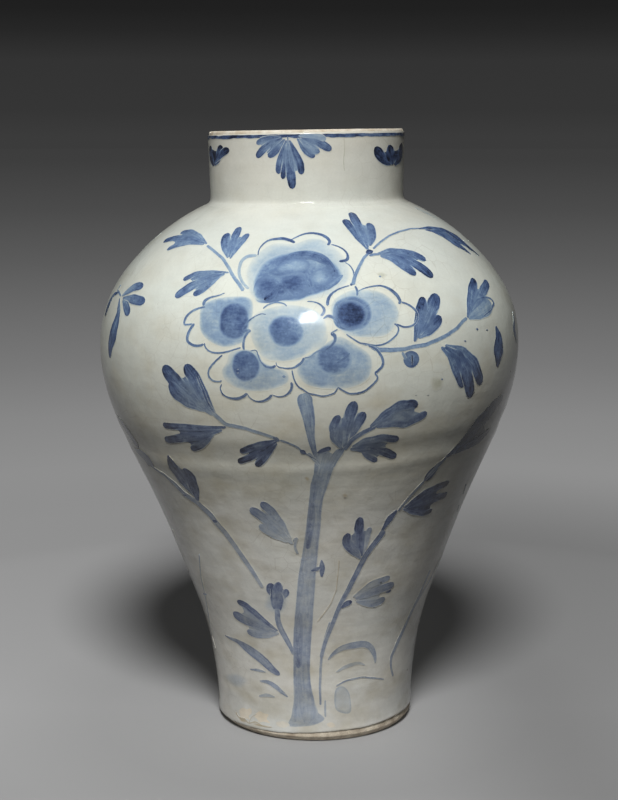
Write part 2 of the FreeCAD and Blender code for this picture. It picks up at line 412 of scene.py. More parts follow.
outsideGlaze = glazeMaterial("outsideGlaze")
insideGlaze = glazeMaterial("insideGlaze", (0.96, 0.95, 0.90))
baseGlaze = glazeMaterial("baseGlaze", (0.92, 0.90, 0.84))
strokeCobalt = stainMaterial("strokeCobalt", strokeDensity, cobaltLook)
washCobalt = stainMaterial("washCobalt", washDensity, cobaltLook)
crackStain = stainMaterial("crackStain", strokeDensity, ageLook)
flakedGlaze = stainMaterial("flakedGlaze", washDensity, flakeLook)
rustStain = stainMaterial("rustStain", washDensity, ageLook)
footClay = clayMaterial("footClay", (0.80, 0.72, 0.58), (0.42, 0.34, 0.25))
lipClay = clayMaterial("lipClay", (0.70, 0.66, 0.57), (0.50, 0.42, 0.31), 0.5)
slipClay = clayMaterial("slipClay", (0.62, 0.56, 0.47), (0.45, 0.38, 0.29), 0.6)
print("materials ready")


# Shape trees
def newTree(name, inputs):
    tree = bpy.data.node_groups.new(name, "GeometryNodeTree")
    tree.interface.new_socket("Geometry", in_out="INPUT", socket_type="NodeSocketGeometry")
    for label, value in inputs.items():
        kind = value if isinstance(value, str) else {int: "Int", float: "Float"}[type(value)]
        socket = tree.interface.new_socket(label, in_out="INPUT", socket_type="NodeSocket" + kind)
        if kind != value:
            socket.default_value = value
    tree.interface.new_socket("Geometry", in_out="OUTPUT", socket_type="NodeSocketGeometry")
    return tree, tree.nodes.new("NodeGroupInput").outputs


def endTree(tree, geometry, entry, placed, merge, values):
    shape = fed("GeometryNodeSetPosition", {0: geometry, "Position": placed})
    for name, value in values.items():
        wires = {0: shape, "Name": name, "Value": value}
        shape = fed("GeometryNodeStoreNamedAttribute", wires, data_type="FLOAT", domain="POINT")
    shape = fed("GeometryNodeMergeByDistance", {0: shape, "Distance": merge})
    shape = fed("GeometryNodeSetShadeSmooth", {0: shape})
    shape = fed("GeometryNodeRealizeInstances", {0: shape})
    wires = {0: shape, "Material": entry["Material"]}
    end = tree.nodes.new("NodeGroupOutput")
    connect(fed("GeometryNodeSetMaterial", wires), end.inputs[0])
    return tree


def field(tree, kind, output=0):
    return tree.nodes.new("GeometryNode" + kind).outputs[output]


def named(tree, name, kind="FLOAT"):
    return addNode(tree, "GeometryNodeInputNamedAttribute", {"Name": name}, data_type=kind).outputs[0]


def captured(geometry, values):
    node = fed("GeometryNodeCaptureAttribute", {0: geometry}, domain="POINT").node
    for name, source in values.items():
        node.capture_items.new("VECTOR" if source.type == "VECTOR" else "FLOAT", name)
        connect(source, node.inputs[name])
    return node.outputs


# Turns an outline into a thrown wall: input points hold radius and height, one per row.
wallLook = {
    "joint": [(0.2195, 0.0035, 1.0), (0.2300, 0.0055, -0.9), (0.2395, 0.0045, 0.6)],  # height, width, share
    "jointSlope": 0.03,
    "rings": (105.0, 1.5), "ringStretch": 0.006, "wobble": (9.0, 2.0),
    "fineEdge": (150.0, 3.0, 2.0), "fineShare": 0.5, "slowEdge": (22.0, 2.0, 3.0),
    "waveTurn": 40, "waveMiddle": 0.5,  # the bare foot is highest at the front right
    "levelUnder": 0.014, "merge": 0.00001,
}


def thrownWallTree():
    look = wallLook
    tree, entry = newTree("thrownWall", {
        "Columns": 224, "Wobble": 0.0004, "Ring Height": 0.00012, "Joint Ridge": 0.00024,
        "Edge Wander": 0.001, "Edge Wave": 0.0, "Seed": 0.0, "Lean": leanAngle, "Level Foot": 0.0,
        "Material": "Material",
    })
    outline, columns, seed = entry["Geometry"], entry["Columns"], entry["Seed"]
    rows = fed("GeometryNodeAttributeDomainSize", {0: outline}, "Point Count")
    wires = {"Vertices X": plus(columns, 1.0), "Vertices Y": rows}
    grid = fed("GeometryNodeMeshGrid", wires)
    index = field(tree, "InputIndex")
    column = calc("FLOOR", calc("DIVIDE", plus(index, 0.5), rows))
    row = minus(index, times(column, rows))

    def rowValue(kind, source):
        wires = {"Geometry": outline, "Value": source, "Index": row}
        return fed("GeometryNodeSampleIndex", wires, data_type=kind, domain="POINT")

    radius, _, height = axes(rowValue("FLOAT_VECTOR", field(tree, "InputPosition")))
    relief, edge = (rowValue("FLOAT", named(tree, name)) for name in ("relief", "edge"))
    angle = times(calc("DIVIDE", column, columns), math.tau)
    cosine, sine = calc("COSINE", angle), calc("SINE", angle)
    even = joined(times(radius, cosine), times(radius, sine), height)
    # Throwing rings, a slow wobble, and the soft ridges pressed out at the belly joint
    stretch = look["ringStretch"]
    onRing = joined(times(cosine, stretch), times(sine, stretch), height)
    fromJoint = minus(height, times(radius, cosine, look["jointSlope"]))
    ridge = 0.0
    for middle, width, share in look["joint"]:
        away = calc("DIVIDE", minus(fromJoint, middle), width)
        ridge = weighed(ridge, (bell(away, -1.0), share))
    push = weighed(
        times(swing(onRing, *look["rings"], seed), entry["Ring Height"]),
        (swing(even, *look["wobble"], seed), entry["Wobble"]), (ridge, entry["Joint Ridge"]))
    newRadius = weighed(radius, (push, relief))
    stray = weighed(swing(even, *look["slowEdge"]),
                    (swing(even, *look["fineEdge"]), look["fineShare"]))
    wave = calc("COSINE", plus(angle, math.radians(look["waveTurn"])))
    stray = weighed(times(stray, entry["Edge Wander"]),
                    (plus(wave, look["waveMiddle"]), entry["Edge Wave"]))
    newHeight = weighed(height, (stray, edge))
    # Lean the whole jar, except where its foot has been cut level
    newX = times(newRadius, cosine)
    leanCosine, leanSine = (calc(kind, entry["Lean"]) for kind in ("COSINE", "SINE"))
    leanedX = plus(times(newX, leanCosine), times(newHeight, leanSine))
    free = remap(newHeight, 0.0, look["levelUnder"], minus(1.0, entry["Level Foot"]), 1.0)
    leanedZ = minus(newHeight, times(newX, leanSine, free))
    placed = joined(leanedX, times(newRadius, sine), leanedZ)
    return endTree(tree, grid, entry, placed, look["merge"], {})


# Paint is laid on the canvas, a fine copy of the outside glaze, as thin closed skins.
skinShape = {"depth": 0.00012, "underside": 4.0, "poolInset": 0.95, "merge": 0.000008}


def paintTree(name, inputs):
    shared = {"Canvas": "Object", "Depth": skinShape["depth"], "Material": "Material"}
    tree, entry = newTree(name, {**shared, **inputs})
    wires = {"Object": entry["Canvas"]}
    canvas = fed("GeometryNodeObjectInfo", wires, "Geometry", transform_space="ORIGINAL")
    curve = fed("GeometryNodeMeshToCurve", {0: entry["Geometry"]})
    curve = fed("GeometryNodeCurveSplineType", {0: curve}, spline_type="CATMULL_ROM")
    wires = {0: curve, "Length": entry["Step"]}
    return tree, entry, canvas, fed("GeometryNodeResampleCurve", wires, mode="LENGTH")


# The section is a loop: the painted face first, from start to 1, then three points under it
def paintSection(count, start, inset):
    points = plus(count, skinShape["underside"])
    loop = fed("GeometryNodeCurvePrimitiveCircle", {"Resolution": points, "Radius": 1.0})
    index = field(count.id_data, "InputIndex")
    top = calc("MULTIPLY_ADD", calc("DIVIDE", index, count), 1.0 - start, start)
    past = minus(minus(index, count), 1.0)
    below = calc("MULTIPLY_ADD", past, (start * inset - inset) / 2, inset)
    under = calc("GREATER_THAN", index, plus(count, 0.5))
    return captured(loop, {"share": mixed(under, top, below), "under": under})


def outOf(canvas, place):  # the canvas's own outward direction at the nearest place
    wires = {"Mesh": canvas, "Value": field(place.id_data, "InputNormal"), "Sample Position": place}
    return fed("GeometryNodeSampleNearestSurface", wires, data_type="FLOAT_VECTOR")


def onCanvas(entry, canvas, place, under):
    wires = {0: canvas, "Sample Position": place}
    onto = fed("GeometryNodeProximity", wires, target_element="FACES")
    lift = named(place.id_data, "lift")
    rise = minus(lift, times(plus(lift, entry["Depth"]), under))
    return moved(onto, outOf(canvas, place), rise)


# Lays a stroke of paint along each input path.
brushLook = {
    "leastGirth": 0.0002, "rootRound": 0.9, "tipRound": 1.25, "inset": 0.85,
    "waver": (110.0, 2.0), "fray": (620.0, 2.0), "frayReach": 0.004,
}


def brushStrokeTree():
    look = brushLook
    tree, entry, canvas, curve = paintTree("brushStroke", {
        "Step": 0.0007, "Across": 8, "Ragged": 0.00016, "Waver": 0.00025, "Seed": 0.0})
    path = captured(curve, {
        "centre": field(tree, "InputPosition"), "tangent": field(tree, "InputTangent"),
        "along": field(tree, "SplineParameter", "Factor"), "run": field(tree, "SplineParameter", "Length"),
        "whole": field(tree, "SplineLength", "Length"),
    })
    section = paintSection(entry["Across"], -1.0, look["inset"])
    skin = fed("GeometryNodeCurveToMesh", {0: path[0], 1: section[0]})
    # Put each point where the brush left it
    side, centre = section["share"], path["centre"]
    girth = calc("MAXIMUM", named(tree, "girth"), look["leastGirth"])
    seed = plus(named(tree, "seed"), entry["Seed"])
    sidewards = vectorCalc("CROSS_PRODUCT", path["tangent"], outOf(canvas, centre))
    sidewards = vectorCalc("NORMALIZE", sidewards)

    def rounded(distance, length):
        part = calc("MINIMUM", calc("DIVIDE", distance, times(girth, length)), 1.0)
        away = minus(1.0, part)
        return calc("SQRT", calc("MAXIMUM", minus(1.0, times(away, away)), 0.0))

    ends = times(rounded(path["run"], look["rootRound"]),
                 rounded(minus(path["whole"], path["run"]), look["tipRound"]))
    waver = times(swing(centre, *look["waver"], seed), entry["Waver"])
    frayed = moved(centre, sidewards, times(side, look["frayReach"]))
    fray = times(swing(frayed, *look["fray"], seed), entry["Ragged"])
    reach = times(plus(times(plus(girth, fray), side), waver), ends)
    wide = moved(centre, sidewards, reach)
    placed = onCanvas(entry, canvas, wide, section["under"])
    return endTree(tree, skin, entry, placed, skinShape["merge"], {
        "across": side, "along": path["along"], "millis": times(path["run"], 1000.0),
        "seed": seed, "girth": times(girth, 1000.0),
    })


# Floods each closed input path with a pool of thin paint, from its centre to the path.
def washPoolTree():
    tree, entry, canvas, curve = paintTree("washPool", {"Step": 0.0013, "Rings": 22})
    path = captured(curve, {"border": field(tree, "InputPosition")})
    section = paintSection(entry["Rings"], 0.0, skinShape["poolInset"])
    skin = fed("GeometryNodeCurveToMesh", {0: path[0], 1: section[0]})
    wires = {0: section["share"], 4: named(tree, "middle", "FLOAT_VECTOR"), 5: path["border"]}
    wide = fed("ShaderNodeMix", wires, 1, data_type="VECTOR")
    placed = onCanvas(entry, canvas, wide, section["under"])
    return endTree(tree, skin, entry, placed, skinShape["merge"], {"radial": section["share"]})


def pointsMesh(name, points, links=(), values=None):
    mesh = bpy.data.meshes.new(name)
    mesh.from_pydata([tuple(point) for point in points], list(links), [])
    for label, numbers in (values or {}).items():
        if isinstance(numbers[0], (int, float)):
            mesh.attributes.new(label, "FLOAT", "POINT").data.foreach_set("value", numbers)
        else:
            flat = [part for vector in numbers for part in vector]
            mesh.attributes.new(label, "FLOAT_VECTOR", "POINT").data.foreach_set("vector", flat)
    return mesh


# Runs a shape tree on a mesh and keeps the result as a plain mesh that faces outwards.
def shaped(name, source, tree, values):
    piece = bpy.data.objects.new(name, source)
    scene.collection.objects.link(piece)
    modifier = piece.modifiers.new("shape", "NODES")
    modifier.node_group = tree
    sockets = {item.name: item.identifier for item in tree.interface.items_tree if item.in_out == "INPUT"}
    for label, value in values.items():
        modifier[sockets[label]] = value
    graph = bpy.context.evaluated_depsgraph_get()
    mesh = bpy.data.meshes.new_from_object(
        piece.evaluated_get(graph), preserve_all_data_layers=True, depsgraph=graph)
    piece.modifiers.clear()
    work = bmesh.new()
    work.from_mesh(mesh)
    loose = [vertex for vertex in work.verts if not vertex.link_faces]
    bmesh.ops.delete(work, geom=loose, context="VERTS")
    bmesh.ops.recalc_face_normals(work, faces=work.faces)
    work.to_mesh(mesh)
    work.free()
    mesh.name = name
    piece.data = mesh
    return piece


def finishPiece(piece, slot, *stoodFor):
    if stoodFor:
        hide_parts(*stoodFor)
    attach(piece, "root")
    print(piece.name, len(piece.data.polygons), "faces")


wallTree = thrownWallTree()
strokeTree = brushStrokeTree()
poolTree = washPoolTree()


def evenSteps(low, high, count):
    return [low + (high - low) * step / (count - 1) for step in range(count)]


def shareAt(values, share):  # reads a row of values at a share of its length
    spot = share * (len(values) - 1)
    low = min(int(spot), len(values) - 2)
    return values[low] + (values[low + 1] - values[low]) * (spot - low)


def treeOf(mesh):
    return BVHTree.FromPolygons([v.co for v in mesh.vertices], [p.vertices for p in mesh.polygons])


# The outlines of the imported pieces, read as radius and height in the upright jar
outlineLook = {"outsideFrom": 0.2, "digits": 6, "skinOver": 0.00005, "rowGap": 0.0004, "filling": 0.012}


def surfaceOf(node):
    return treeOf(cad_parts[node].data)


def hit(surface, start, heading):
    origin = leanTurn @ Vector((0, start[0], start[1]))
    direction = leanTurn @ Vector((0, heading[0], heading[1]))
    distance = surface.ray_cast(origin, direction.normalized())[3]
    if distance is None:
        return None
    return (start[0] + heading[0] * distance, start[1] + heading[1] * distance)


def fan(surface, centre, start, stop, count):  # hits all round from one point, in degrees
    rows = []
    for degrees in evenSteps(start, stop, count):
        angle = math.radians(degrees)
        rows.append(hit(surface, centre, (math.cos(angle), math.sin(angle))))
    return [row for row in rows if row]


def outsideOf(surface, *heights):
    return [hit(surface, (outlineLook["outsideFrom"], z), (-1, 0)) for z in evenSteps(*heights)]


def insideOf(surface, *heights):
    return [hit(surface, (0.0, z), (1, 0)) for z in evenSteps(*heights)]


def smoothThrough(points, spacing):  # a smooth line through the points, at even steps
    filled = [points[0]]
    for point in points[1:]:
        last = filled[-1]
        pieces = max(1, round(math.dist(point, last) / outlineLook["filling"]))
        for step in range(1, pieces + 1):
            share = step / pieces
            filled.append(tuple(a + (b - a) * share for a, b in zip(last, point)))
    lengths = [0.0]
    for a, b in zip(filled, filled[1:]):
        lengths.append(lengths[-1] + math.dist(a, b))
    slopes = []
    for i in range(len(filled)):
        before, after = max(i - 1, 0), min(i + 1, len(filled) - 1)
        h1, h2 = lengths[i] - lengths[before], lengths[after] - lengths[i]
        slope = []
        for k in range(len(filled[0])):
            d1 = (filled[i][k] - filled[before][k]) / h1 if h1 else None
            d2 = (filled[after][k] - filled[i][k]) / h2 if h2 else None
            if d1 is None or d2 is None:
                slope.append(d2 if d1 is None else d1)
            else:
                slope.append((d1 * h2 + d2 * h1) / (h1 + h2))
        slopes.append(slope)
    count = max(2, round(lengths[-1] / spacing) + 1)
    result, i = [], 0
    for at in evenSteps(0.0, lengths[-1], count):
        while i < len(filled) - 2 and at > lengths[i + 1]:
            i += 1
        h = lengths[i + 1] - lengths[i]
        t = min(max((at - lengths[i]) / h, 0.0), 1.0)
        a, b = 2 * t**3 - 3 * t**2 + 1, t**3 - 2 * t**2 + t
        c, d = 1 - a, t**3 - t**2
        ends = zip(filled[i], slopes[i], filled[i + 1], slopes[i + 1])
        result.append(tuple(a * p + b * h * s + c * q + d * h * u for p, s, q, u in ends))
    return result


def outerSkin(node, spacing):
    look, surface, pairs = outlineLook, surfaceOf(node), set()
    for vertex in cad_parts[node].data.vertices:
        place = upright @ vertex.co
        pairs.add((round(math.hypot(place.x, place.y), look["digits"]), round(place.z, look["digits"])))
    outside = sorted((z, r) for r, z in pairs if hit(surface, (r + look["skinOver"], z), (1, 0)) is None)
    rows = []
    for z, r in outside:  # of two rows that lie close together the outer one stays
        if rows and z - rows[-1][1] < look["rowGap"]:
            if r > rows[-1][0]:
                rows[-1] = (r, z)
        else:
            rows.append((r, z))
    return smoothThrough(rows, spacing)


def inset(rows, depth):  # the same line, moved inwards
    moved = []
    for i, (r, z) in enumerate(rows):
        a, b = rows[max(i - 1, 0)], rows[min(i + 1, len(rows) - 1)]
        length = math.dist(a, b)
        moved.append((r - (b[1] - a[1]) / length * depth, z + (b[0] - a[0]) / length * depth))
    return moved


def wallPiece(name, rows, relief, edge, wall, material):  # wall holds the inputs of the wall's tree
    mesh = pointsMesh(name + "Outline", [(r, 0, z) for r, z in rows], values={"relief": relief, "edge": edge})
    return shaped(name, mesh, wallTree, {**wall, "Material": material})


# The outside glaze: a coat from just above the bare foot to just under the bare lip
outsideShape = {
    "rowStep": 0.002, "thickness": 0.0008, "backEvery": 6,
    "wall": {"Columns": 224, "Edge Wander": 0.0013, "Edge Wave": 0.0021},
    "footRoll": [(-0.0002, -0.0003), (-0.0005, -0.0003)],  # the edges are rolled where it was wiped off
    "lipRoll": [(-0.0002, 0.0002), (-0.0006, 0.0002)],
    "calmEdge": 0.006, "footEdge": 0.006, "lipEdge": 0.004, "lipShare": 0.35,
    "canvasStep": 0.001, "canvasWall": {"Columns": 900},
}


def makeOutsideGlaze():
    look = outsideShape
    face = outerSkin("outer_glaze", look["rowStep"])
    low, high = face[0], face[-1]

    def calm(z):  # less relief close to the edges
        return min(1.0, max(min(z - low[1], high[1] - z), 0.0) / look["calmEdge"])

    def rolled(end, offsets):
        return [(end[0] + across, end[1] + up) for across, up in offsets]

    inner = inset(face, look["thickness"])
    back = inner[::-look["backEvery"]][:-1] + [inner[0]]
    rows = face + rolled(high, look["lipRoll"]) + back + rolled(low, look["footRoll"])[::-1] + [face[0]]
    relief, edge = [], []
    for number, (r, z) in enumerate(rows):
        relief.append(calm(z) if number < len(face) or number == len(rows) - 1 else 0.0)
        foot = max(0.0, 1 - (z - low[1]) / look["footEdge"])
        lip = max(0.0, 1 - (high[1] - z) / look["lipEdge"])
        edge.append(min(foot, 1.0) + look["lipShare"] * min(lip, 1.0))
    glaze = wallPiece("glazeOutside", rows, relief, edge, look["wall"], outsideGlaze)
    fine = outerSkin("outer_glaze", look["canvasStep"])
    relief = [calm(z) for r, z in fine]
    return glaze, wallPiece("paintCanvas", fine, relief, [0.0] * len(fine), look["canvasWall"], outsideGlaze)


glazeOutside, canvas = makeOutsideGlaze()
finishPiece(glazeOutside, "glaze", "outer_glaze")


# The foot and the lower wall: bare clay with a worn, gritty edge
footShape = {
    "recess": (0.004, 0.0, 0.0585, 8),  # height to look up from, first radius, last radius, rows
    "ring": ((0.0665, 0.0065), 182, 352, 40),
    "outside": [(0.0075, 0.014, 6), (0.02, 0.2265, 20)],
    "inside": (0.2265, 0.045, 16),
    "floor": ((0.0, 0.1), -40, -90, 14),
    "reliefUnder": 0.012,
    "wall": {"Columns": 360, "Wobble": 0.0, "Ring Height": 0.0, "Joint Ridge": 0.0, "Level Foot": 1.0},
}


def makeBareFoot():
    look, surface = footShape, surfaceOf("lower_body")
    under, *radii = look["recess"]
    rows = [hit(surface, (r, under), (0, 1)) for r in evenSteps(*radii)] + fan(surface, *look["ring"])
    for heights in look["outside"]:
        rows += outsideOf(surface, *heights)
    rows += insideOf(surface, *look["inside"]) + fan(surface, *look["floor"])
    relief = [1.0 if z < look["reliefUnder"] and radii[1] < r else 0.0 for r, z in rows]
    return wallPiece("bareFoot", rows, relief, [0.0] * len(rows), look["wall"], footClay)


finishPiece(makeBareFoot(), "clay", "lower_body")


# The collar, with the lip that was wiped bare
lipShape = {
    "outside": (0.402, 0.4445, 9), "lip": ((0.0699, 0.4455), 2, 178, 30), "inside": (0.4445, 0.402, 7),
    "reliefFrom": 0.4465, "reliefOver": 0.002, "edgeShare": 0.6,
    "wall": {"Columns": 300, "Wobble": 0.00025, "Ring Height": 0.0, "Joint Ridge": 0.0,
             "Edge Wander": 0.0004},
}


def makeBareLip():
    look, surface = lipShape, surfaceOf("collar")
    rows = outsideOf(surface, *look["outside"]) + fan(surface, *look["lip"])
    rows += insideOf(surface, *look["inside"])
    rows.append(rows[0])
    relief = [min(1.0, max(0.0, (z - look["reliefFrom"]) / look["reliefOver"])) for r, z in rows]
    edge = [look["edgeShare"] * value for value in relief]
    return wallPiece("bareLip", rows, relief, edge, look["wall"], lipClay)


finishPiece(makeBareLip(), "clay", "collar")


# The glaze inside, over the floor, the walls and the inside of the collar
insideShape = {
    "fan": ((0.0, 0.2), -90, 74.6, 120), "topRow": 0.4465, "top": 0.447, "rowStep": 0.004,
    "thickness": 0.0005, "backEvery": 4, "calmMiddle": 0.05, "edgeOver": 0.004,
    "wall": {"Columns": 160, "Wobble": 0.0002, "Ring Height": 0.0002, "Joint Ridge": 0.0,
             "Edge Wander": 0.0006, "Seed": 5.0},
}


def makeInsideGlaze():
    look, surface = insideShape, surfaceOf("inner_glaze")
    face = [row for row in fan(surface, *look["fan"]) if row[1] < look["topRow"]]
    face.append((face[-1][0], look["top"]))
    face = smoothThrough(face, look["rowStep"])
    back = inset(face, -look["thickness"])[::-look["backEvery"]]
    rows = face + back + [(0.0, face[0][1] - look["thickness"])]
    relief = [1.0 if number < len(face) and r > look["calmMiddle"] else 0.0
              for number, (r, z) in enumerate(rows)]
    edge = [max(0.0, 1 - (look["top"] - z) / look["edgeOver"]) for r, z in rows]
    return wallPiece("glazeInside", rows, relief, edge, look["wall"], insideGlaze)


finishPiece(makeInsideGlaze(), "glaze", "inner_glaze")

for node, material in (("base_glaze", baseGlaze), ("upper_body", footClay),
                       ("belly_luting", slipClay), ("neck_luting", slipClay)):
    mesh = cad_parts[node].data
    mesh.materials.clear()
    mesh.materials.append(material)
print("jar ready")

# The painting. A stroke is (kind, load of cobalt, half width, x, y, x, y, ...) in pixels of the
# photographed view, from its root to its tip. A load may be a pair, for root and tip.
strokeKinds = {  # share of the half width along the stroke
    "dab": (0.30, 0.85, 1.0, 0.85),
    "lobe": (0.28, 0.84, 1.12, 1.16, 0.9),
    "line": (0.85, 1.0, 1.0, 0.85),
    "fade": (1.0, 1.0, 0.8, 0.35),
    "swell": (0.35, 1.0, 1.0, 0.35),
    "pointed": (0.2, 0.9, 1.0, 0.15),
    "cusp": (0.6, 0.8, 1.0, 1.7, 1.5),
    "stem": (1.0, 0.85, 0.8, 0.7),
    "blade": (0.2, 0.6, 1.0, 1.0, 0.55),
    "shortBlade": (0.2, 0.9, 1.0, 0.7),
}

upperLeaves = [
    # Stem and leaves above the left blossoms
    ("stem", 0.42, 2.3, 243.5, 291, 239, 284, 233, 276, 229, 268, 223, 259, 214, 251, 207, 245.5),
    ("leaf", 0.46),
    ("dab", (0.5, 0.62), 3.7, 207, 244, 199, 236, 190, 231.5, 181, 232.5),
    ("dab", (0.5, 0.55), 3.2, 204, 244.5, 190, 243, 177, 245.5, 167, 249.5),
    ("dab", (0.62, 0.66), 4.2, 205, 243.5, 190, 238.5, 176, 238, 164, 241),
    ("leaf", 0.44),
    ("lobe", (0.5, 0.68), 4.5, 228, 258, 225.5, 248, 225.5, 240, 227.5, 233),
    ("lobe", (0.5, 0.62), 3.2, 230, 259, 236, 249, 243, 240, 248.5, 233.5),
    ("lobe", (0.6, 0.66), 4.1, 229, 257, 232, 246, 235.5, 236, 239.5, 227),
    ("leaf", 0.46),
    ("dab", (0.5, 0.66), 2.9, 229, 272.5, 212, 272.5, 196, 274, 183, 280),
    ("dab", (0.5, 0.66), 3.5, 222, 275, 211, 283, 202, 290, 193, 295),
    ("dab", (0.55, 0.62), 4.5, 225, 274, 208, 279, 192, 286, 175, 297),
    # The pendant leaf at the left edge
    ("leaf", 0.0),
    ("line", 0.5, 1.4, 121, 285, 118, 290, 121, 296),
    ("dab", (0.7, 0.8), 3.0, 120, 292, 114, 295, 110, 302, 107, 310, 105, 316),
    ((0.15, 0.4, 0.65, 1.0, 0.7, 0.35), (0.6, 0.75), 5.3, 120, 298, 118.5, 312, 116, 323, 113, 335, 110.5,
     346, 110, 358),
    ("lobe", (0.38, 0.7), 4.5, 122, 296, 130, 290, 137, 286.5, 143, 287),
    ("lobe", (0.5, 0.68), 5.0, 123, 298, 133, 299, 140, 301, 145, 302),
    ("lobe", (0.5, 0.7), 4.5, 123, 300, 126, 306, 128, 312, 128.5, 315.5),
    ("fade", 0.16, 2.0, 141.3, 250, 152, 240, 161.9, 232.5),
    ("fade", 0.14, 2.0, 414.4, 207.6, 426, 213, 437.9, 219.3),
    # Stem and leaves above the right blossoms
    ("stem", 0.5, 2.3, 353, 285, 355, 276, 359, 267, 364, 258, 369, 253),
    ("leaf", 0.44),
    ("lobe", (0.7, 0.6), 4.6, 366, 247, 362, 238, 358, 229),
    ("lobe", (0.6, 0.76), 4.6, 368, 250, 360, 239, 352, 228, 344, 219.5),
    ("lobe", (0.6, 0.66), 4.5, 370, 246, 372, 238, 371, 230, 369, 223),
    ("lobe", (0.55, 0.72), 4.6, 368, 248, 362, 234, 356, 222, 351, 212.5),
    ("swell", 0.92, 3.4, 366, 253.5, 369.5, 252, 373, 251),
    ("stem", 0.5, 1.4, 373, 249, 380, 242.5, 390, 235.5, 400, 231.5, 410, 229, 420, 228.5),
    ("leaf", 0.62),
    ("pointed", (0.75, 0.85), 3.6, 418, 229, 430, 228, 445, 231, 457, 238, 468, 247, 479, 256),
    ("pointed", (0.7, 0.8), 3.6, 430, 230.5, 442, 235, 455, 243, 471, 254.5),
    ("line", 0.6, 1.5, 369, 256, 375, 254.5, 380, 254.5),
    ("leaf", 0.56),
    ("dab", (0.62, 0.7), 3.6, 377, 254, 390, 250.5, 403, 252, 415, 255, 426, 260.5),
    ("dab", (0.55, 0.8), 4.1, 380, 256, 392, 259, 403, 266, 416, 275),
    ("dab", (0.6, 0.8), 4.5, 380, 254.5, 395, 255, 410, 261, 423, 269, 433, 277.5),
    # The branch to the right edge
    ("leaf", 0.0),
    ("stem", 0.5, 2.7, 371, 346, 378, 349.5, 392, 350, 405, 349, 415, 346.5, 425, 345, 437, 340, 447, 335,
     457, 328, 463, 321, 467, 318),
    ("leaf", 0.56),
    ("lobe", (0.58, 0.74), 5.6, 418, 338, 429, 330, 436, 322, 441, 316.5),
    ("lobe", (0.58, 0.70), 6.4, 419, 335, 427, 319, 433, 305, 437, 294),
    ("lobe", (0.62, 0.85), 5.0, 414.5, 342, 418, 325, 420.5, 310, 423.5, 297),
    ("leaf", 0.48),
    ("lobe", (0.42, 0.36), 8.0, 468, 318, 477, 313, 485, 308, 491, 303),
    ("lobe", (0.45, 0.72), 5.0, 472, 310, 478, 300, 483, 291, 487.5, 281.5),
    ("lobe", (0.55, 0.82), 5.0, 467.5, 318, 470, 303, 472, 290, 474.5, 279),
    ("line", 0.62, 1.2, 472, 306, 477, 300, 484, 297.5, 490, 298.5, 493.5, 303, 491, 310, 484, 316),
    ("line", 0.45, 2.0, 402, 352, 406, 360),
    ("swell", 0.92, 2.6, 412, 355, 412, 366),
    ("leaf", 0.62),
    ("lobe", (0.6, 0.8), 5.2, 441, 347, 450, 355, 456, 368, 463, 387),
    ("lobe", (0.55, 0.78), 5.6, 445, 345.5, 462, 351, 474, 364, 481, 384),
    ("lobe", (0.66, 0.84), 6.2, 445, 347, 458, 356, 466, 372, 471, 397),
    ((0.15, 0.7, 1.0, 0.3), (0.75, 0.85), 5.5, 495.5, 326, 498.5, 338, 498.5, 350, 497, 367),
    ("swell", 0.8, 2.2, 512.7, 311, 514, 330, 516.5, 343),
]

# Small spots of cobalt, spilt or on the joints of the branches: x, y, half width, load
cobaltSpots = [
    (380, 276.5, 1.4, 0.6), (386.5, 275, 1.0, 0.5), (361, 347.7, 1.2, 0.7), (477, 329, 1.3, 0.7),
    (487, 330, 1.0, 0.6), (465, 341, 1.2, 0.7), (442, 379, 1.2, 0.6), (416, 395, 1.0, 0.6),
    (428, 395, 1.0, 0.5), (345, 497, 1.0, 0.5), (215, 521, 2.4, 0.75), (185, 495, 1.8, 0.7),
    (205, 594, 1.6, 0.6), (284, 376.5, 2.0, 0.5), (388, 590.5, 3.2, 0.75), (374, 607, 1.4, 0.6),
    (238, 371, 2.5, 0.8),
]

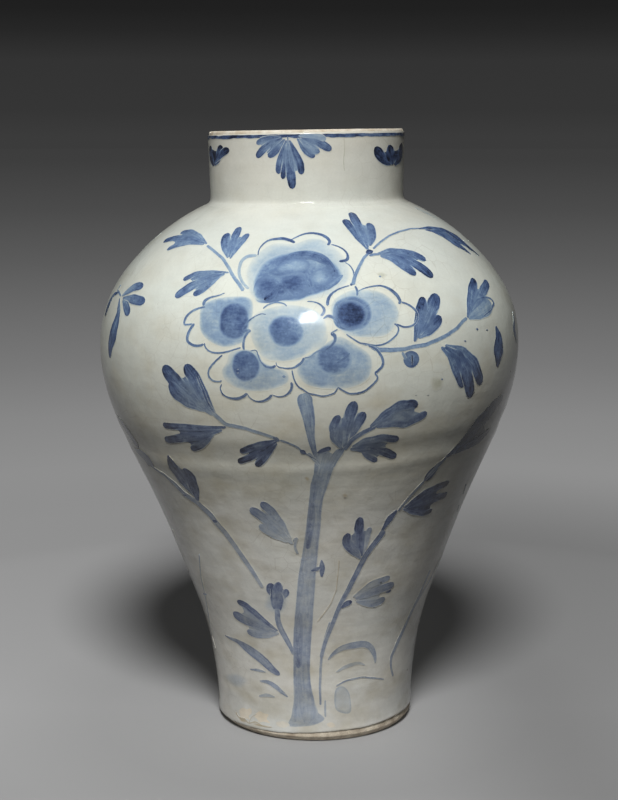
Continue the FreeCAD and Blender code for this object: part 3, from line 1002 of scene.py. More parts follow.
blossomLines = [
    # The big blossom at the top
    ("line", 0.3, 1.9, 249, 289, 243, 283, 239.5, 275, 239.5, 268, 242, 261, 248, 256.5, 257, 255.5),
    ("cusp", 0.75, 1.1, 258, 255.5, 259, 250, 263, 244.5, 269, 240.5, 276, 239, 283, 238.8, 290, 240.5, 295,
     243),
    ("cusp", 0.78, 1.1, 291, 240, 297, 237, 303, 234.5, 311, 233.2, 320, 234.5, 327, 238, 329.5, 242, 327.5,
     245.5),
    ("cusp", 0.78, 1.1, 331, 244.5, 338, 246.5, 344, 250, 347.5, 255, 346.5, 260, 339, 261.5),
    ("cusp", 0.7, 1.0, 345, 262.5, 350, 266, 353.5, 272, 354, 278, 352, 284, 350, 285.5),
    # Brush marks in its heart
    ("swell", 0.72, 4.6, 288, 256, 300, 254, 311, 255, 322, 259, 330, 265, 335, 272),
    ("dab", (0.72, 0.86), 5.2, 279, 286, 271, 295, 264, 300),
    ("dab", (0.6, 0.7), 3.2, 306, 272, 308, 279, 311, 287),
    ("dab", (0.56, 0.5), 3.4, 343, 275, 336, 281, 325, 289),
    # The blossom on the left
    ("cusp", 0.6, 1.0, 225, 293, 219, 295.5, 211, 297.5, 205, 301, 203.5, 306),
    ("line", 0.6, 1.3, 205.5, 307, 199, 308.5, 193, 311, 188, 315, 185, 320, 185, 324.5, 193, 324),
    ("line", 0.62, 1.6, 194.5, 323.5, 190, 330, 187.5, 337, 188.5, 342, 194, 345.5, 200, 345.5, 204, 344),
    ("line", 0.6, 1.1, 204.5, 343, 206, 348, 211, 352, 219, 353, 228, 351.5, 236, 349, 241, 347.5),
    # The blossom in the middle
    ("line", 0.62, 1.0, 263, 309, 268, 305, 276, 302.5, 284, 304, 287, 306.5),
    ("cusp", 0.66, 1.0, 266, 314.5, 261, 314, 255, 316.5, 249, 321, 245, 326, 243, 330, 251, 330.5),
    ("line", 0.66, 1.5, 251, 330.5, 247, 334, 244, 340, 243.5, 347, 244.5, 350),
    ("cusp", 0.66, 1.0, 250, 351, 256, 350.5, 258, 355, 261, 362, 266, 366.5, 272, 367.5, 276, 365.5),
    ("cusp", 0.66, 1.0, 276, 362, 277.5, 366, 284, 368, 292, 368, 297, 366, 302, 362, 304, 357.5),
    ("line", 0.6, 1.0, 304, 358, 310, 357, 315, 353, 320, 350.5, 325, 350),
    ("cusp", 0.75, 1.4, 325, 350, 331, 346, 335, 340, 334, 335, 330.5, 334),
    ("line", 0.6, 1.0, 330.5, 333.5, 335, 331, 338, 329.5),
    ("cusp", 0.6, 1.0, 307, 301.5, 314, 302, 320, 304.5, 324, 309, 323.5, 313, 320.5, 316),
    ("swell", 0.6, 2.0, 323, 319, 328, 316, 334, 318, 338, 322, 340, 328),
    # The two blossoms below
    ("line", 0.66, 1.1, 222.5, 355, 218, 359, 213, 364, 209, 370, 209, 376, 213, 380.5, 219, 381.5, 222,
     380.5),
    ("cusp", 0.7, 1.1, 222, 384, 220.5, 388, 223, 394, 229, 397.5, 237, 398.5, 244, 396, 247, 393),
    ("cusp", 0.7, 1.0, 247, 393, 250, 397.5, 256, 401, 263, 401, 269, 398, 272, 394.5),
    ("cusp", 0.7, 1.0, 272, 394.5, 278, 396.5, 285, 395.5, 290, 391.5, 292, 386, 291, 382),
    ("line", 0.66, 1.0, 292, 370, 294, 379, 298, 386, 304, 390, 308.8, 393.2, 323.5, 396, 333.7, 393.2, 338,
     387.3),
    ("line", 0.66, 1.2, 338, 387.3, 344, 391, 351.3, 393.6, 363, 391.7, 371.9, 385, 377.5, 378, 374.5,
     373.5),
    ("line", 0.68, 1.5, 374.5, 373.5, 381.5, 367, 383, 361, 380, 354, 375, 348.5, 368, 345.5),
    ("line", 0.6, 1.0, 368, 345.5, 360, 343, 353, 339, 346, 334),
    ("line", 0.7, 1.0, 337, 363, 345, 358, 350, 353),
    # The blossom on the right
    ("cusp", 0.7, 1.1, 349.5, 285.5, 343, 287.5, 337, 290, 331, 294.5, 328, 300, 327.5, 306),
    ("line", 0.7, 1.5, 355, 286, 357, 291, 357, 296),
    ("cusp", 0.72, 1.1, 357, 292, 363, 289, 372, 286.5, 381, 286, 389, 289, 396, 294.5, 400, 301, 398.5,
     304),
    ("line", 0.7, 1.2, 401, 302, 408, 304.5, 414, 309, 417.5, 315, 416, 322, 411, 326, 404, 327, 398, 325,
     394, 324),
    ("line", 0.66, 1.1, 395, 324, 398.5, 328, 397, 334, 391, 340, 384, 344, 376, 345.5, 360, 343),
]

# Pools of thin paint: load at the middle, load at the rim, share where the rim's load starts to
# take over, then the outline in pixels
blossomPools = [
    # Big blossom: pale petals, then its dark heart
    (0.22, 0.09, 0.70, 247, 288, 245, 273, 250, 261, 262, 249, 274, 243, 294, 243, 311, 238, 325, 240, 339,
     250, 349, 264, 350, 279, 340, 291, 320, 299, 290, 303, 262, 304, 252, 299),
    (0.48, 0.54, 0.42, 253, 293, 252, 284, 255, 274, 262, 263, 274, 256, 291, 251.5, 310, 251.5, 325, 255,
     335, 262, 341, 269, 343.5, 276, 340, 283, 332, 289, 321, 294, 309, 297.5, 297, 301.5, 276, 302, 265,
     304, 256, 302),
    (0.30, 0.46, 0.05, 277, 268, 284, 261.5, 295, 259, 307, 261, 309, 268, 300, 271.5, 289, 272.5, 280,
     272),
    (0.66, 0.48, 0.25, 254, 297, 255, 284, 263, 277, 280, 276, 300, 272, 313, 282, 306, 295, 284, 300, 266,
     303),
    (0.30, 0.46, 0.05, 311, 275, 317, 270, 325, 270, 332, 276, 328, 283, 318, 285, 311.5, 281),
    # Left blossom
    (0.35, 0.18, 0.78, 201, 306, 213, 299, 232, 296, 249, 297, 254, 305, 252, 322, 246, 340, 236, 346, 222,
     347.5, 208, 341, 200, 331, 199, 318),
    (0.66, 0.56, 0.78, 218.5, 322, 221, 309, 229, 302.5, 240, 302, 248, 308, 250, 319, 247.5, 331, 241,
     339.5, 228, 340, 220, 333),
    # The two blossoms below
    (0.27, 0.12, 0.78, 226, 362, 230, 352, 245, 349, 258, 352, 264, 362, 278, 368, 288, 372, 289, 382, 276,
     389, 258, 392, 238, 389, 225, 381, 221, 371),
    (0.60, 0.50, 0.78, 231, 366, 234, 354.5, 243, 349.5, 253, 352, 260, 361, 260, 373, 253, 380.5, 243,
     382.5, 235, 377),
    (0.32, 0.16, 0.78, 296, 368, 304, 358, 316, 350, 330, 340, 341, 336, 356, 344, 370, 354, 373, 366, 368,
     380, 352, 388, 330, 389.5, 308, 386, 298, 377),
    (0.60, 0.44, 0.60, 315, 359, 319, 348.5, 330, 343.5, 342, 345, 351, 353, 351, 365, 343, 373, 330, 375,
     319, 369),
    # Middle blossom
    (0.24, 0.12, 0.78, 251, 320, 262, 310, 284, 304.5, 305, 306, 322, 314, 328, 330, 325, 344, 310, 353,
     296, 360, 280, 362, 264, 359, 254, 347, 249, 333),
    (0.56, 0.40, 0.66, 267, 331, 271, 320, 281, 315, 293, 316, 302, 322, 305, 333, 300, 343, 288, 348, 275,
     345),
    # Right blossom
    (0.26, 0.12, 0.78, 333, 300, 350, 290, 368, 289, 382, 292, 394, 301, 400, 314, 396, 326, 386, 336, 368,
     338, 348, 336, 336, 327, 330, 313),
    (0.46, 0.50, 0.75, 331.5, 314, 335, 302, 346, 296, 358, 296, 369, 303, 373, 314, 369, 325, 358, 332,
     346, 332, 335, 326),
    (0.78, 0.64, 0.70, 335, 315, 338, 305, 347, 300.5, 357, 301, 365, 307, 367.5, 315, 363, 325, 353, 330,
     343, 328, 337, 322),
    # Bud under the right branch
    (0.60, 0.66, 0.70, 403, 359, 405, 353, 411, 350.5, 417, 353, 419.5, 359.5, 416, 366, 410.5, 368, 405,
     365),
]

lowerLeaves = [
    # The thin line at the lower right
    ("line", 0.36, 0.9, 432, 576, 421, 595, 411, 612),
    ("line", 0.38, 1.5, 430, 570, 418, 598, 404, 628, 395, 648, 391, 658, 391, 668, 393, 676),
    ("line", 0.34, 0.8, 438.7, 560, 426, 587),
    # Low on the left: a leaf of three lobes and its stem
    ("leaf", 0.46),
    ("lobe", (0.45, 0.75), 6.5, 214, 415, 195, 400, 176, 382, 163, 366),
    ("lobe", (0.5, 0.72), 5.5, 205, 411, 188, 402, 176, 392, 170, 382),
    ("lobe", (0.5, 0.78), 6.0, 216, 416, 203, 395, 194, 378, 185, 364.5),
    ("line", 0.75, 1.4, 217, 417, 208, 403, 203, 390, 197, 375),
    ("stem", 0.42, 2.3, 213, 413, 220, 419, 226, 424, 244, 428, 260, 433, 272, 437, 278, 439),
    ("swell", 0.75, 2.6, 273, 437, 276, 439, 280, 441),
    ("stem", 0.55, 1.3, 280, 440, 288, 443, 297, 447, 303, 452, 312, 457, 318, 461),
    ("swell", 0.8, 2.6, 300, 450, 303, 452, 306, 454),
    ("swell", 0.75, 1.8, 309, 456, 313, 458),
    ("leaf", 0.62),
    ("dab", (0.72, 0.8), 4.1, 226, 427, 210, 428, 185, 427, 163, 425),
    ("dab", (0.55, 0.8), 4.5, 214, 434, 206, 441, 199, 446, 191, 449),
    ("dab", (0.68, 0.76), 4.9, 222, 430, 201, 436, 181, 438, 165, 440),
    ("leaf", 0.66),
    ("dab", (0.8, 0.86), 4.0, 277, 440, 262, 444, 250, 448, 240, 452),
    ("dab", (0.82, 0.88), 4.5, 277, 443, 268, 453, 262, 460, 256, 466),
    ("dab", (0.84, 0.9), 4.1, 277, 441, 264, 450, 251, 457, 238, 462),
    # The long branch from the left edge
    ("leaf", 0.0),
    ("dab", (0.8, 0.85), 3.6, 117, 415, 124, 425, 131, 436, 139, 448),
    ("lobe", (0.5, 0.62), 5.0, 135, 449, 143, 455, 150, 463, 152, 467),
    ((0.5, 0.7, 0.9, 1.0, 1.0, 1.0, 0.7), (0.55, 0.28), 2.5, 152, 466, 165, 475, 175, 484, 185, 494, 197,
     502, 210, 514, 217, 523, 225, 532, 233, 543, 240, 553, 247, 563, 253, 572, 258, 580, 263, 588),
    ("leaf", 0.62),
    ("pointed", (0.7, 0.85), 5.8, 196, 497, 184, 480, 173, 466, 168, 455),
    ("lobe", (0.75, 0.85), 5.6, 198, 501, 194, 488, 189, 476, 184, 468),
    ("leaf", 0.28),
    ("dab", (0.24, 0.34), 4.2, 288, 542, 275, 535, 265, 529, 260, 524),
    ("dab", (0.24, 0.5), 5.0, 291, 540, 281, 524, 271, 511, 261, 502),
    ("dab", (0.24, 0.5), 5.0, 293, 544, 279, 531, 263, 517, 250, 508),
    ("line", 0.35, 1.6, 293, 541, 297, 538, 295, 546, 298, 554),
    ("line", 0.35, 0.9, 172, 527.6, 174, 533, 176.5, 539.4),
    ("line", 0.38, 0.9, 199.3, 554, 201, 575, 205.2, 595, 212.3, 636.5, 215.5, 649),
    # To the right of the trunk
    ("leaf", 0.50),
    ("lobe", (0.5, 0.7), 4.6, 342, 449, 334, 438, 334, 426, 339, 415),
    ("lobe", (0.5, 0.72), 5.2, 346, 447, 352, 432, 359, 420, 365, 412),
    ("lobe", (0.52, 0.72), 5.6, 344, 448, 346, 430, 351, 412, 355, 401),
    ("line", 0.6, 2.4, 344, 450, 352, 440, 362, 433, 376, 426),
    ("leaf", 0.48),
    ("dab", (0.6, 0.72), 4.2, 376, 427, 393, 424, 405, 424, 420, 417, 427, 412),
    ("dab", (0.6, 0.78), 5.6, 370, 427, 385, 415, 400, 406, 413, 404, 417, 407),
    ("leaf", 0.52),
    ("dab", (0.55, 0.7), 4.5, 352, 447, 365, 441, 382, 438, 399, 439),
    ("dab", (0.6, 0.8), 4.2, 362, 452, 368, 456, 377, 461),
    ("dab", (0.6, 0.78), 5.2, 350, 449, 370, 448, 385, 452, 396, 457),
    # The dark leaf at the right edge, its stem, and what hangs from it
    ("leaf", 0.95),
    ("shortBlade", 0.98, 4.3, 450, 455, 465, 447, 478, 440, 489, 430),
    ("blade", (0.98, 1.05), 7.0, 446, 457, 462, 443, 478, 425, 492, 408, 503, 396),
    ("leaf", 0.0),
    ("dab", (0.7, 0.8), 3.6, 441, 461, 432, 472, 424.5, 481),
    ("line", 0.5, 1.3, 424, 481, 412, 494, 402, 506, 398, 511),
    ("swell", 0.72, 3.2, 397, 510, 390, 518, 381, 532),
    ("line", 0.6, 1.4, 424, 481, 434, 470, 446, 457),
    ((1.0, 1.0, 0.9, 0.8, 0.7), (0.6, 0.42), 2.9, 384, 530, 380, 536, 374, 544, 368, 552, 362, 562, 357,
     572, 352, 582, 347, 592, 342, 601, 338, 610, 334, 620, 330, 630, 326, 640, 323, 650, 321, 658),
    ("leaf", 0.70),
    ("dab", (0.7, 0.9), 3.5, 403, 509, 412, 512, 424, 513, 432, 510),
    ("dab", (0.76, 0.86), 4.1, 404, 508, 415, 500, 425, 493, 437, 487, 449, 482),
    ("dab", (0.74, 0.84), 4.6, 408, 508, 420, 503, 435, 498, 447, 494),
    ("leaf", 0.45),
    ("lobe", (0.32, 0.40), 3.2, 364, 553, 366, 540, 370, 527),
    ("lobe", (0.56, 0.74), 4.6, 361, 559, 353, 551, 347, 543, 348, 533),
    ("lobe", (0.65, 0.76), 4.6, 362, 556, 360, 540, 359, 528, 360, 517),
    ("leaf", 0.0),
    ("dab", (0.7, 0.75), 3.0, 341, 608, 346, 604, 352, 601),
    ("leaf", 0.25),
    ("dab", (0.30, 0.38), 3.5, 353, 597, 362, 591, 372, 584, 382, 580, 390, 577),
    ("dab", (0.34, 0.42), 4.0, 356, 601, 365, 603, 375, 603, 385, 598),
    ("dab", (0.42, 0.46), 4.5, 355, 598, 368, 594, 380, 589, 394, 584),
    ("swell", 0.7, 2.4, 466, 484, 463, 494),
    ("swell", 0.6, 1.6, 459, 505, 457, 512),
]

trunkStrokes = [
    ((0.9, 1.0, 1.0, 0.8), 0.42, 4.4, 330, 468, 334, 460, 338, 454, 343, 448),
    ("stem", 0.40, 2.4, 308, 453, 314, 459, 320, 466),
    ((1.0, 0.9, 0.75, 0.55, 0.4, 0.28), (0.45, 0.5), 8.6, 304.5, 393, 305, 402, 307, 410, 309, 420, 310,
     430, 311.5, 440, 314, 450, 316, 457),
    ("dab", 0.78, 3.0, 317, 453, 322, 451, 331, 447.5),
    ((0.6, 1.0, 1.0, 0.7), 0.50, 3.6, 315.5, 474, 314.5, 488, 312.5, 502),
    ((0.7, 1.0, 1.0, 0.9, 0.7), (0.50, 0.62), 4.0, 312.5, 502, 311, 518, 309.5, 534, 307.5, 549),
    ((0.5, 1.0, 0.8, 0.5), 0.36, 3.0, 303, 572, 301, 584, 299.5, 596),
    ((0.5, 1.0, 1.0, 0.8), (0.42, 0.52), 4.8, 299.5, 612, 298.5, 630, 298, 648, 298.5, 668),
    ((0.8, 1.0, 1.0, 1.0), (0.46, 0.34), 2.0, 296, 676, 296.5, 696, 295, 722),
    ("line", 0.38, 1.5, 330, 622, 326, 635, 322, 650, 320.5, 670, 320, 690, 320.5, 705),
    ("line", 0.3, 1.2, 325, 700, 325.2, 708, 325.5, 717),
    ("swell", 0.62, 3.2, 321.5, 560, 322, 568, 321.5, 577),
    ("swell", 0.6, 2.4, 311, 571, 316, 569, 321, 567),
]
trunkPools = [
    (0.24, 0.24, 0.9, 295, 694, 304, 690, 311, 694, 314, 704, 318, 712, 325, 719, 317, 724.5, 303, 727, 288,
     726, 291, 716, 293, 704),
]

# The trunk's wash, down both sides in turn: left x, right x, y
trunkLoads = (0.41, 0.38, 0.39, 0.37, 0.31, 0.32, 0.38, 0.30, 0.22)
trunkSides = [
    (317, 341, 452), (315, 338, 457.5), (313.8, 335, 465), (313, 331.5, 475), (310, 328, 486),
    (309, 324, 497), (307.5, 322, 510), (306, 321, 525), (304, 319.5, 540), (301.5, 318, 555),
    (299, 316.5, 570), (297, 315.5, 586), (295.5, 314, 604), (294, 313, 622), (293, 311.5, 642),
    (293, 310.5, 662), (293, 311, 682), (293.5, 315, 702), (291, 320, 717), (294, 318, 724),
]

footStrokes = [
    ("leaf", 0.46),
    ("lobe", (0.5, 0.66), 4.6, 275, 602, 271, 590, 271.5, 583),
    ("lobe", (0.5, 0.6), 3.7, 281, 601, 285, 594, 287, 589),
    ("lobe", (0.55, 0.62), 4.2, 277, 602, 278, 588, 279, 582),
    ((0.6, 1.0, 0.9, 0.5), 0.55, 7.6, 277, 590, 277, 597, 277, 605, 277.5, 612),
    ("swell", 0.72, 3.4, 271.5, 588, 272, 598),
    ((0.9, 1.0, 0.9, 0.6), (0.5, 0.42), 3.2, 277, 608, 278, 620, 280, 627, 283, 633, 287, 640, 291, 648,
     294, 655),
    ("leaf", 0.31),
    ("dab", (0.6, 0.7), 3.4, 278, 631, 268, 624, 255, 613, 245, 605, 237, 601),
    ("dab", (0.3, 0.4), 4.2, 279, 633, 268, 635, 256, 634, 247, 631),
    ("dab", (0.4, 0.52), 4.9, 276, 632, 262, 627, 248, 621, 240, 617, 233, 613),
    ((0.15, 0.35, 0.7, 1.0, 1.0, 0.9, 0.5), (0.5, 0.42), 4.5, 225, 635, 237, 641, 243, 645, 250, 650, 258,
     656, 265, 662, 272, 669, 280, 675),
    ("swell", 0.4, 1.6, 250, 669, 258, 670, 266, 672),
    ("swell", 0.42, 2.4, 260, 681, 268, 682, 275, 686, 282, 692, 288, 697),
    ("swell", 0.25, 2.1, 259, 696, 267, 695, 275, 697),
    ((0.2, 0.6, 0.8, 1.0, 1.0, 0.9, 0.7, 0.2), (0.4, 0.34), 3.8, 328, 660, 333, 654, 340, 649, 347, 646.5,
     355, 645, 363, 644, 369, 646, 373, 651, 375, 658, 375, 663),
    ("swell", 0.25, 2.0, 336, 672, 343, 668, 350, 665, 358, 663, 365, 665),
    ("line", 0.38, 1.0, 336, 686, 345, 681, 352, 679, 362, 677, 375, 678, 384, 679),
]

footPools = [
    (0.12, 0.24, 0.70, 336, 688, 343, 686, 349, 692, 351, 702, 351, 712, 345, 714, 336, 710, 334, 698),
    (0.14, 0.0, 0.35, 223, 674, 236, 672, 248, 678, 245, 688, 232, 687),
    (0.20, 0.0, 0.40, 262, 604, 270, 588, 284, 588, 290, 600, 284, 614, 270, 614),
]

neckSpray = [
    ("leaf", 0.40),
    ("lobe", (0.66, 0.56), 3.0, 282, 137, 270, 138.5, 262, 140.5, 256.5, 144),
    ("lobe", (0.66, 0.74), 3.6, 282, 138, 270, 144, 263, 150, 256.5, 157.5),
    ("lobe", (0.68, 0.68), 3.8, 285, 139, 279, 147, 274, 152, 268, 157),
    ("leaf", 0.40),
    ("lobe", (0.6, 0.7), 3.6, 286.5, 140, 283, 152, 280, 163, 278.5, 174),
    ("lobe", (0.6, 0.86), 3.0, 287, 142, 286, 158, 284.5, 170, 282.5, 179),
    ("lobe", (0.6, 0.78), 4.4, 288, 142, 289, 160, 291, 175, 292.5, 189),
    ("lobe", (0.66, 0.86), 3.8, 289.5, 140, 295, 153, 300, 164, 301.5, 174.5),
    ("leaf", 0.40),
    ("lobe", (0.58, 0.64), 3.4, 297, 138, 304, 148, 309, 153, 315, 157),
    ("lobe", (0.46, 0.5), 3.4, 299, 138, 307, 145, 314, 150, 320, 152),
    ("lobe", (0.6, 0.74), 4.0, 301, 138, 314, 141, 323, 145, 331.5, 150),
    ("lobe", (0.4, 0.34), 3.0, 298, 136, 310, 135.5, 320, 137, 326, 140),
    ("leaf", 0.0),
    ("line", 0.62, 0.9, 287.5, 136, 289, 150, 291, 165, 294, 172),
    ("line", 0.6, 0.9, 270, 142, 272, 147, 267, 153),
]
neckClovers = [
    [
        ("leaf", 0.95),
        ("lobe", 0.98, 4.0, 214, 166, 212, 158, 211, 152, 211, 145.5),
        ("lobe", 0.96, 4.6, 214.5, 165, 217.5, 159, 220, 152, 222.5, 146),
        ("lobe", (0.8, 0.92), 3.6, 215, 163, 219, 157, 224, 152, 229.5, 150),
    ],
    [
        ("leaf", 0.95),
        ("lobe", 0.98, 5.2, 391, 164, 386, 161, 380, 155, 374.5, 147.5),
        ("lobe", 0.98, 4.8, 392.5, 165, 391.5, 158, 390, 152, 388.5, 145),
        ("lobe", 1.0, 4.8, 394, 165, 398, 159, 400.5, 152, 402, 143.5),
    ],
]


# Leaves that are repeated on the sides: their box in pixels, degrees round the jar, mirrored or not
sideSprays = [
    ((150, 355, 236, 452), -97, False),
    ((150, 355, 236, 452), 98, True),
    ((235, 488, 300, 560), -92, False),
    ((325, 500, 372, 560), 96, False),
    ((225, 590, 282, 640), -98, True),
]

# From pixels to places on the jar
canvasTree = treeOf(canvas.data)


def pixelRay(x, y):
    cx, cy = view["centre"]
    return (forwards * focalPixels + sideways * (x - cx) - upwards * (y - cy)).normalized()


def toPixel(place):
    away = place - view["place"]
    depth = away.dot(forwards)
    return Vector((view["centre"][0] + focalPixels * away.dot(sideways) / depth,
                   view["centre"][1] - focalPixels * away.dot(upwards) / depth))


paintLook = {
    "firstLift": 0.00006, "liftStep": 0.000004, "liftCount": 30,  # later strokes lie a little higher
    "poolLift": 0.00004, "poolStep": 0.000006, "poolCount": 16,
    "seeds": (0, 50), "stepBack": 0.5, "tries": 40, "reach": 1.1, "probe": 0.001, "thinnest": 0.45,
    "spacing": 0.006, "spotShape": (0.9, 0.2), "sharpAngle": 0.6,
    "bodyRoot": 0.35, "bodyValley": 0.72, "bodyTip": 0.85, "bodyRim": 1.1, "bodySoft": 0.6,
    "farShare": 9.0, "sameHeading": 1e-9,
}


def onJar(x, y):
    back = paintLook["stepBack"] * (1 if x < view["centre"][0] else -1)
    for _ in range(paintLook["tries"]):
        place = canvasTree.ray_cast(view["place"], pixelRay(x, y))[0]
        if place:
            return place
        x += back  # just past the outline, so step back onto the jar
    return canvasTree.find_nearest(view["place"] + pixelRay(x, y) * paintLook["reach"])[0]


def placesOf(numbers):
    return [onJar(x, y) for x, y in zip(numbers[::2], numbers[1::2])]


def metresPerPixel(place, along):
    normal = canvasTree.find_nearest(place)[1]
    side = normal.cross(along).normalized() * paintLook["probe"]
    shift = (toPixel(place + side) - toPixel(place - side)).length / (2 * paintLook["probe"])
    flat = focalPixels / (place - view["place"]).dot(forwards)
    return 1.0 / max(shift, paintLook["thinnest"] * flat)


def neighbours(row, number):
    return row[max(number - 1, 0)], row[min(number + 1, len(row) - 1)]


def strokePath(stroke):  # points on the jar with half width and load
    kind, load, half, numbers = stroke[0], stroke[1], stroke[2], stroke[3:]
    widths = strokeKinds[kind] if isinstance(kind, str) else kind
    loads = load if isinstance(load, tuple) else (load, load)
    places = placesOf(numbers)
    lengths = [0.0]
    for a, b in zip(places, places[1:]):
        lengths.append(lengths[-1] + (b - a).length)
    path = []
    for i, place in enumerate(places):
        before, after = neighbours(places, i)
        share = lengths[i] / lengths[-1]
        girth = half * metresPerPixel(place, after - before) * shareAt(widths, share)
        path.append((place, girth, shareAt(loads, share)))
    # Long gaps get points between them, so that width and load change evenly
    full = [path[0]]
    for a, b in zip(path, path[1:]):
        steps = max(1, round((b[0] - a[0]).length / paintLook["spacing"]))
        for step in range(1, steps + 1):
            t = step / steps
            full.append((a[0].lerp(b[0], t), a[1] + (b[1] - a[1]) * t, a[2] + (b[2] - a[2]) * t))
    return full


def spotPath(x, y, half, load):
    reach, drop = half * paintLook["spotShape"][0], paintLook["spotShape"][1]
    return strokePath(("line", load, half, x - reach, y, x + reach, y + drop))


def sharpen(piece):  # keeps the thin rim of the paint from rounding the light on its face
    work = bmesh.new()
    work.from_mesh(piece.data)
    for edge in work.edges:
        if edge.calc_face_angle(0.0) > paintLook["sharpAngle"]:
            edge.smooth = False
    work.to_mesh(piece.data)
    work.free()


def paintPiece(name, points, links, labels, rows, tree, values):  # rows hold each point's values
    columns = {label: list(column) for label, column in zip(labels, zip(*rows))}
    mesh = pointsMesh(name + "Paths", points, links, columns)
    piece = shaped(name, mesh, tree, {"Canvas": canvas, **values})
    sharpen(piece)
    finishPiece(piece, "glaze")


def paintStrokes(name, paths, step=0.0009, across=8, lift=0.0, material=strokeCobalt):
    points, links, rows = [], [], []
    for number, path in enumerate(paths):
        seed = random.uniform(*paintLook["seeds"])
        height = lift + paintLook["firstLift"] + paintLook["liftStep"] * (number % paintLook["liftCount"])
        for i, (place, girth, load, ground) in enumerate(path):
            if i:
                links.append((len(points) - 1, len(points)))
            points.append(place)
            rows.append((girth, load, height, seed, *ground))
    labels = ("girth", "load", "lift", "seed", "groundPlus", "groundMinus")
    values = {"Step": step, "Across": across, "Material": material}
    paintPiece(name, points, links, labels, rows, strokeTree, values)


def paintPools(name, pools, material=washCobalt):
    points, links, rows = [], [], []
    for number, (load, rim, soft, border, grounds) in enumerate(pools):
        middle = canvasTree.find_nearest(sum(border, Vector()) / len(border))[0]
        first, seed = len(points), random.uniform(*paintLook["seeds"])
        height = paintLook["poolLift"] + paintLook["poolStep"] * min(number, paintLook["poolCount"])
        for i, place in enumerate(border):
            links.append((first + i, first + (i + 1) % len(border)))
            points.append(place)
            rows.append((tuple(middle), load, rim, soft, height, seed, grounds[i]))
    labels = ("middle", "load", "rim", "soft", "lift", "seed", "ground")
    paintPiece(name, points, links, labels, rows, poolTree, {"Material": material})


def poolPath(pool):
    return *pool[:3], placesOf(pool[3:])


def shareOut(spot, outline):  # 0 at the middle of an outline, 1 on it, more outside
    middle = sum(outline, Vector((0, 0))) / len(outline)
    out, share = spot - middle, paintLook["farShare"]
    for a, b in zip(outline, outline[1:] + outline[:1]):
        edge, start = b - a, a - middle
        turn = out.x * edge.y - out.y * edge.x
        if abs(turn) > paintLook["sameHeading"]:
            reach = (start.x * edge.y - start.y * edge.x) / turn
            along = (start.x * out.y - start.y * out.x) / turn
            if 0 <= along < 1 and reach > 0:
                share = min(share, 1 / reach)
    return share


def loadUnder(place, washes):  # how much paint the washes left at a place
    spot, level = toPixel(place), 0.0
    for load, rim, soft, outline in washes:
        share = shareOut(spot, outline)
        if share < 1:
            t = min(max((share - soft) / (washLook["rimEnd"] - soft), 0.0), 1.0)
            level = load + (rim - load) * t * t * (3 - 2 * t)
    return level


def trunkUnder(place):
    spot, last = toPixel(place), len(trunkSides) - 1
    for number, ((a, b, y), (c, d, w)) in enumerate(zip(trunkSides, trunkSides[1:])):
        t = (spot.y - y) / (w - y)
        if 0 <= t < 1 and a + (c - a) * t < spot.x < b + (d - b) * t:
            return shareAt(trunkLoads, (number + t) / last)
    return 0.0


def flatPools(pools):
    return [(*pool[:3], [toPixel(place) for place in pool[3]]) for pool in pools]


def groundedPools(pools):  # adds the paint under each point of the border
    flat = flatPools(pools)
    return [(*pool, [loadUnder(place, flat[:number]) for place in pool[3]])
            for number, pool in enumerate(pools)]


def groundedPath(path, washes=(), onTrunk=False):  # adds the paint under the stroke's two edges
    full = []
    for i, (place, girth, load) in enumerate(path):
        before, after = neighbours(path, i)
        side = (after[0] - before[0]).cross(canvasTree.find_nearest(place)[1]).normalized() * girth
        edges = (place + side, place - side)
        ground = tuple(max(loadUnder(edge, washes), trunkUnder(edge) if onTrunk else 0.0) for edge in edges)
        full.append((place, girth, load, ground))
    return full


def trunkWash():  # a broad stroke between the trunk's two sides
    path = []
    for number, (a, b, y) in enumerate(trunkSides):
        load = shareAt(trunkLoads, number / (len(trunkSides) - 1))
        path.append((onJar((a + b) / 2, y), (onJar(b, y) - onJar(a, y)).length / 2, load))
    return path


def leafBody(load, lobes):  # the wet ground that a leaf's lobes share: an outline from lobe to lobe
    look = paintLook
    roots = [Vector(lobe[3:5]) for lobe in lobes]
    root = sum(roots, Vector((0, 0))) / len(roots)
    tips = [Vector(lobe[-2:]) - root for lobe in lobes]
    heading = sum(tips, Vector((0, 0)))
    order = sorted(range(len(lobes)), key=lambda number: heading.angle_signed(tips[number], 0.0))

    def at(number, share):
        numbers = lobes[number][3:]
        return Vector((shareAt(numbers[::2], share), shareAt(numbers[1::2], share)))

    border = [root, at(order[0], look["bodyRoot"]), at(order[0], look["bodyTip"])]
    for one, other in zip(order, order[1:]):
        border.append((at(one, look["bodyValley"]) + at(other, look["bodyValley"])) / 2)
        border.append(at(other, look["bodyTip"]))
    border.append(at(order[-1], look["bodyRoot"]))
    return load, load * look["bodyRim"], look["bodySoft"], [onJar(*place) for place in border]


def sortedStrokes(strokes):  # paths of the strokes, and bodies of the leaves that they form
    paths, bodies, lobes, load = [], [], [], 0.0
    for stroke in [*strokes, ("leaf", 0.0)]:
        if load and stroke[0] in ("dab", "lobe", "pointed", "blade", "shortBlade"):
            lobes.append(stroke)
        elif lobes:
            if len(lobes) > 1:
                bodies.append(leafBody(load, lobes))
            lobes, load = [], 0.0
        if stroke[0] == "leaf":
            load = stroke[1]
        else:
            paths.append(strokePath(stroke))
    return paths, bodies


def spraySet(strokes):  # paths and pools of a spray, each with the paint beneath it
    paths, bodies = sortedStrokes(strokes)
    washes = flatPools(bodies)
    return [groundedPath(path, washes) for path in paths], groundedPools(bodies)


def around(degrees, mirrored=False):  # turns about the jar's own axis
    flip = Matrix.Diagonal((1, -1 if mirrored else 1, 1, 1))
    return lean @ Matrix.Rotation(math.radians(degrees), 4, "Z") @ flip @ upright


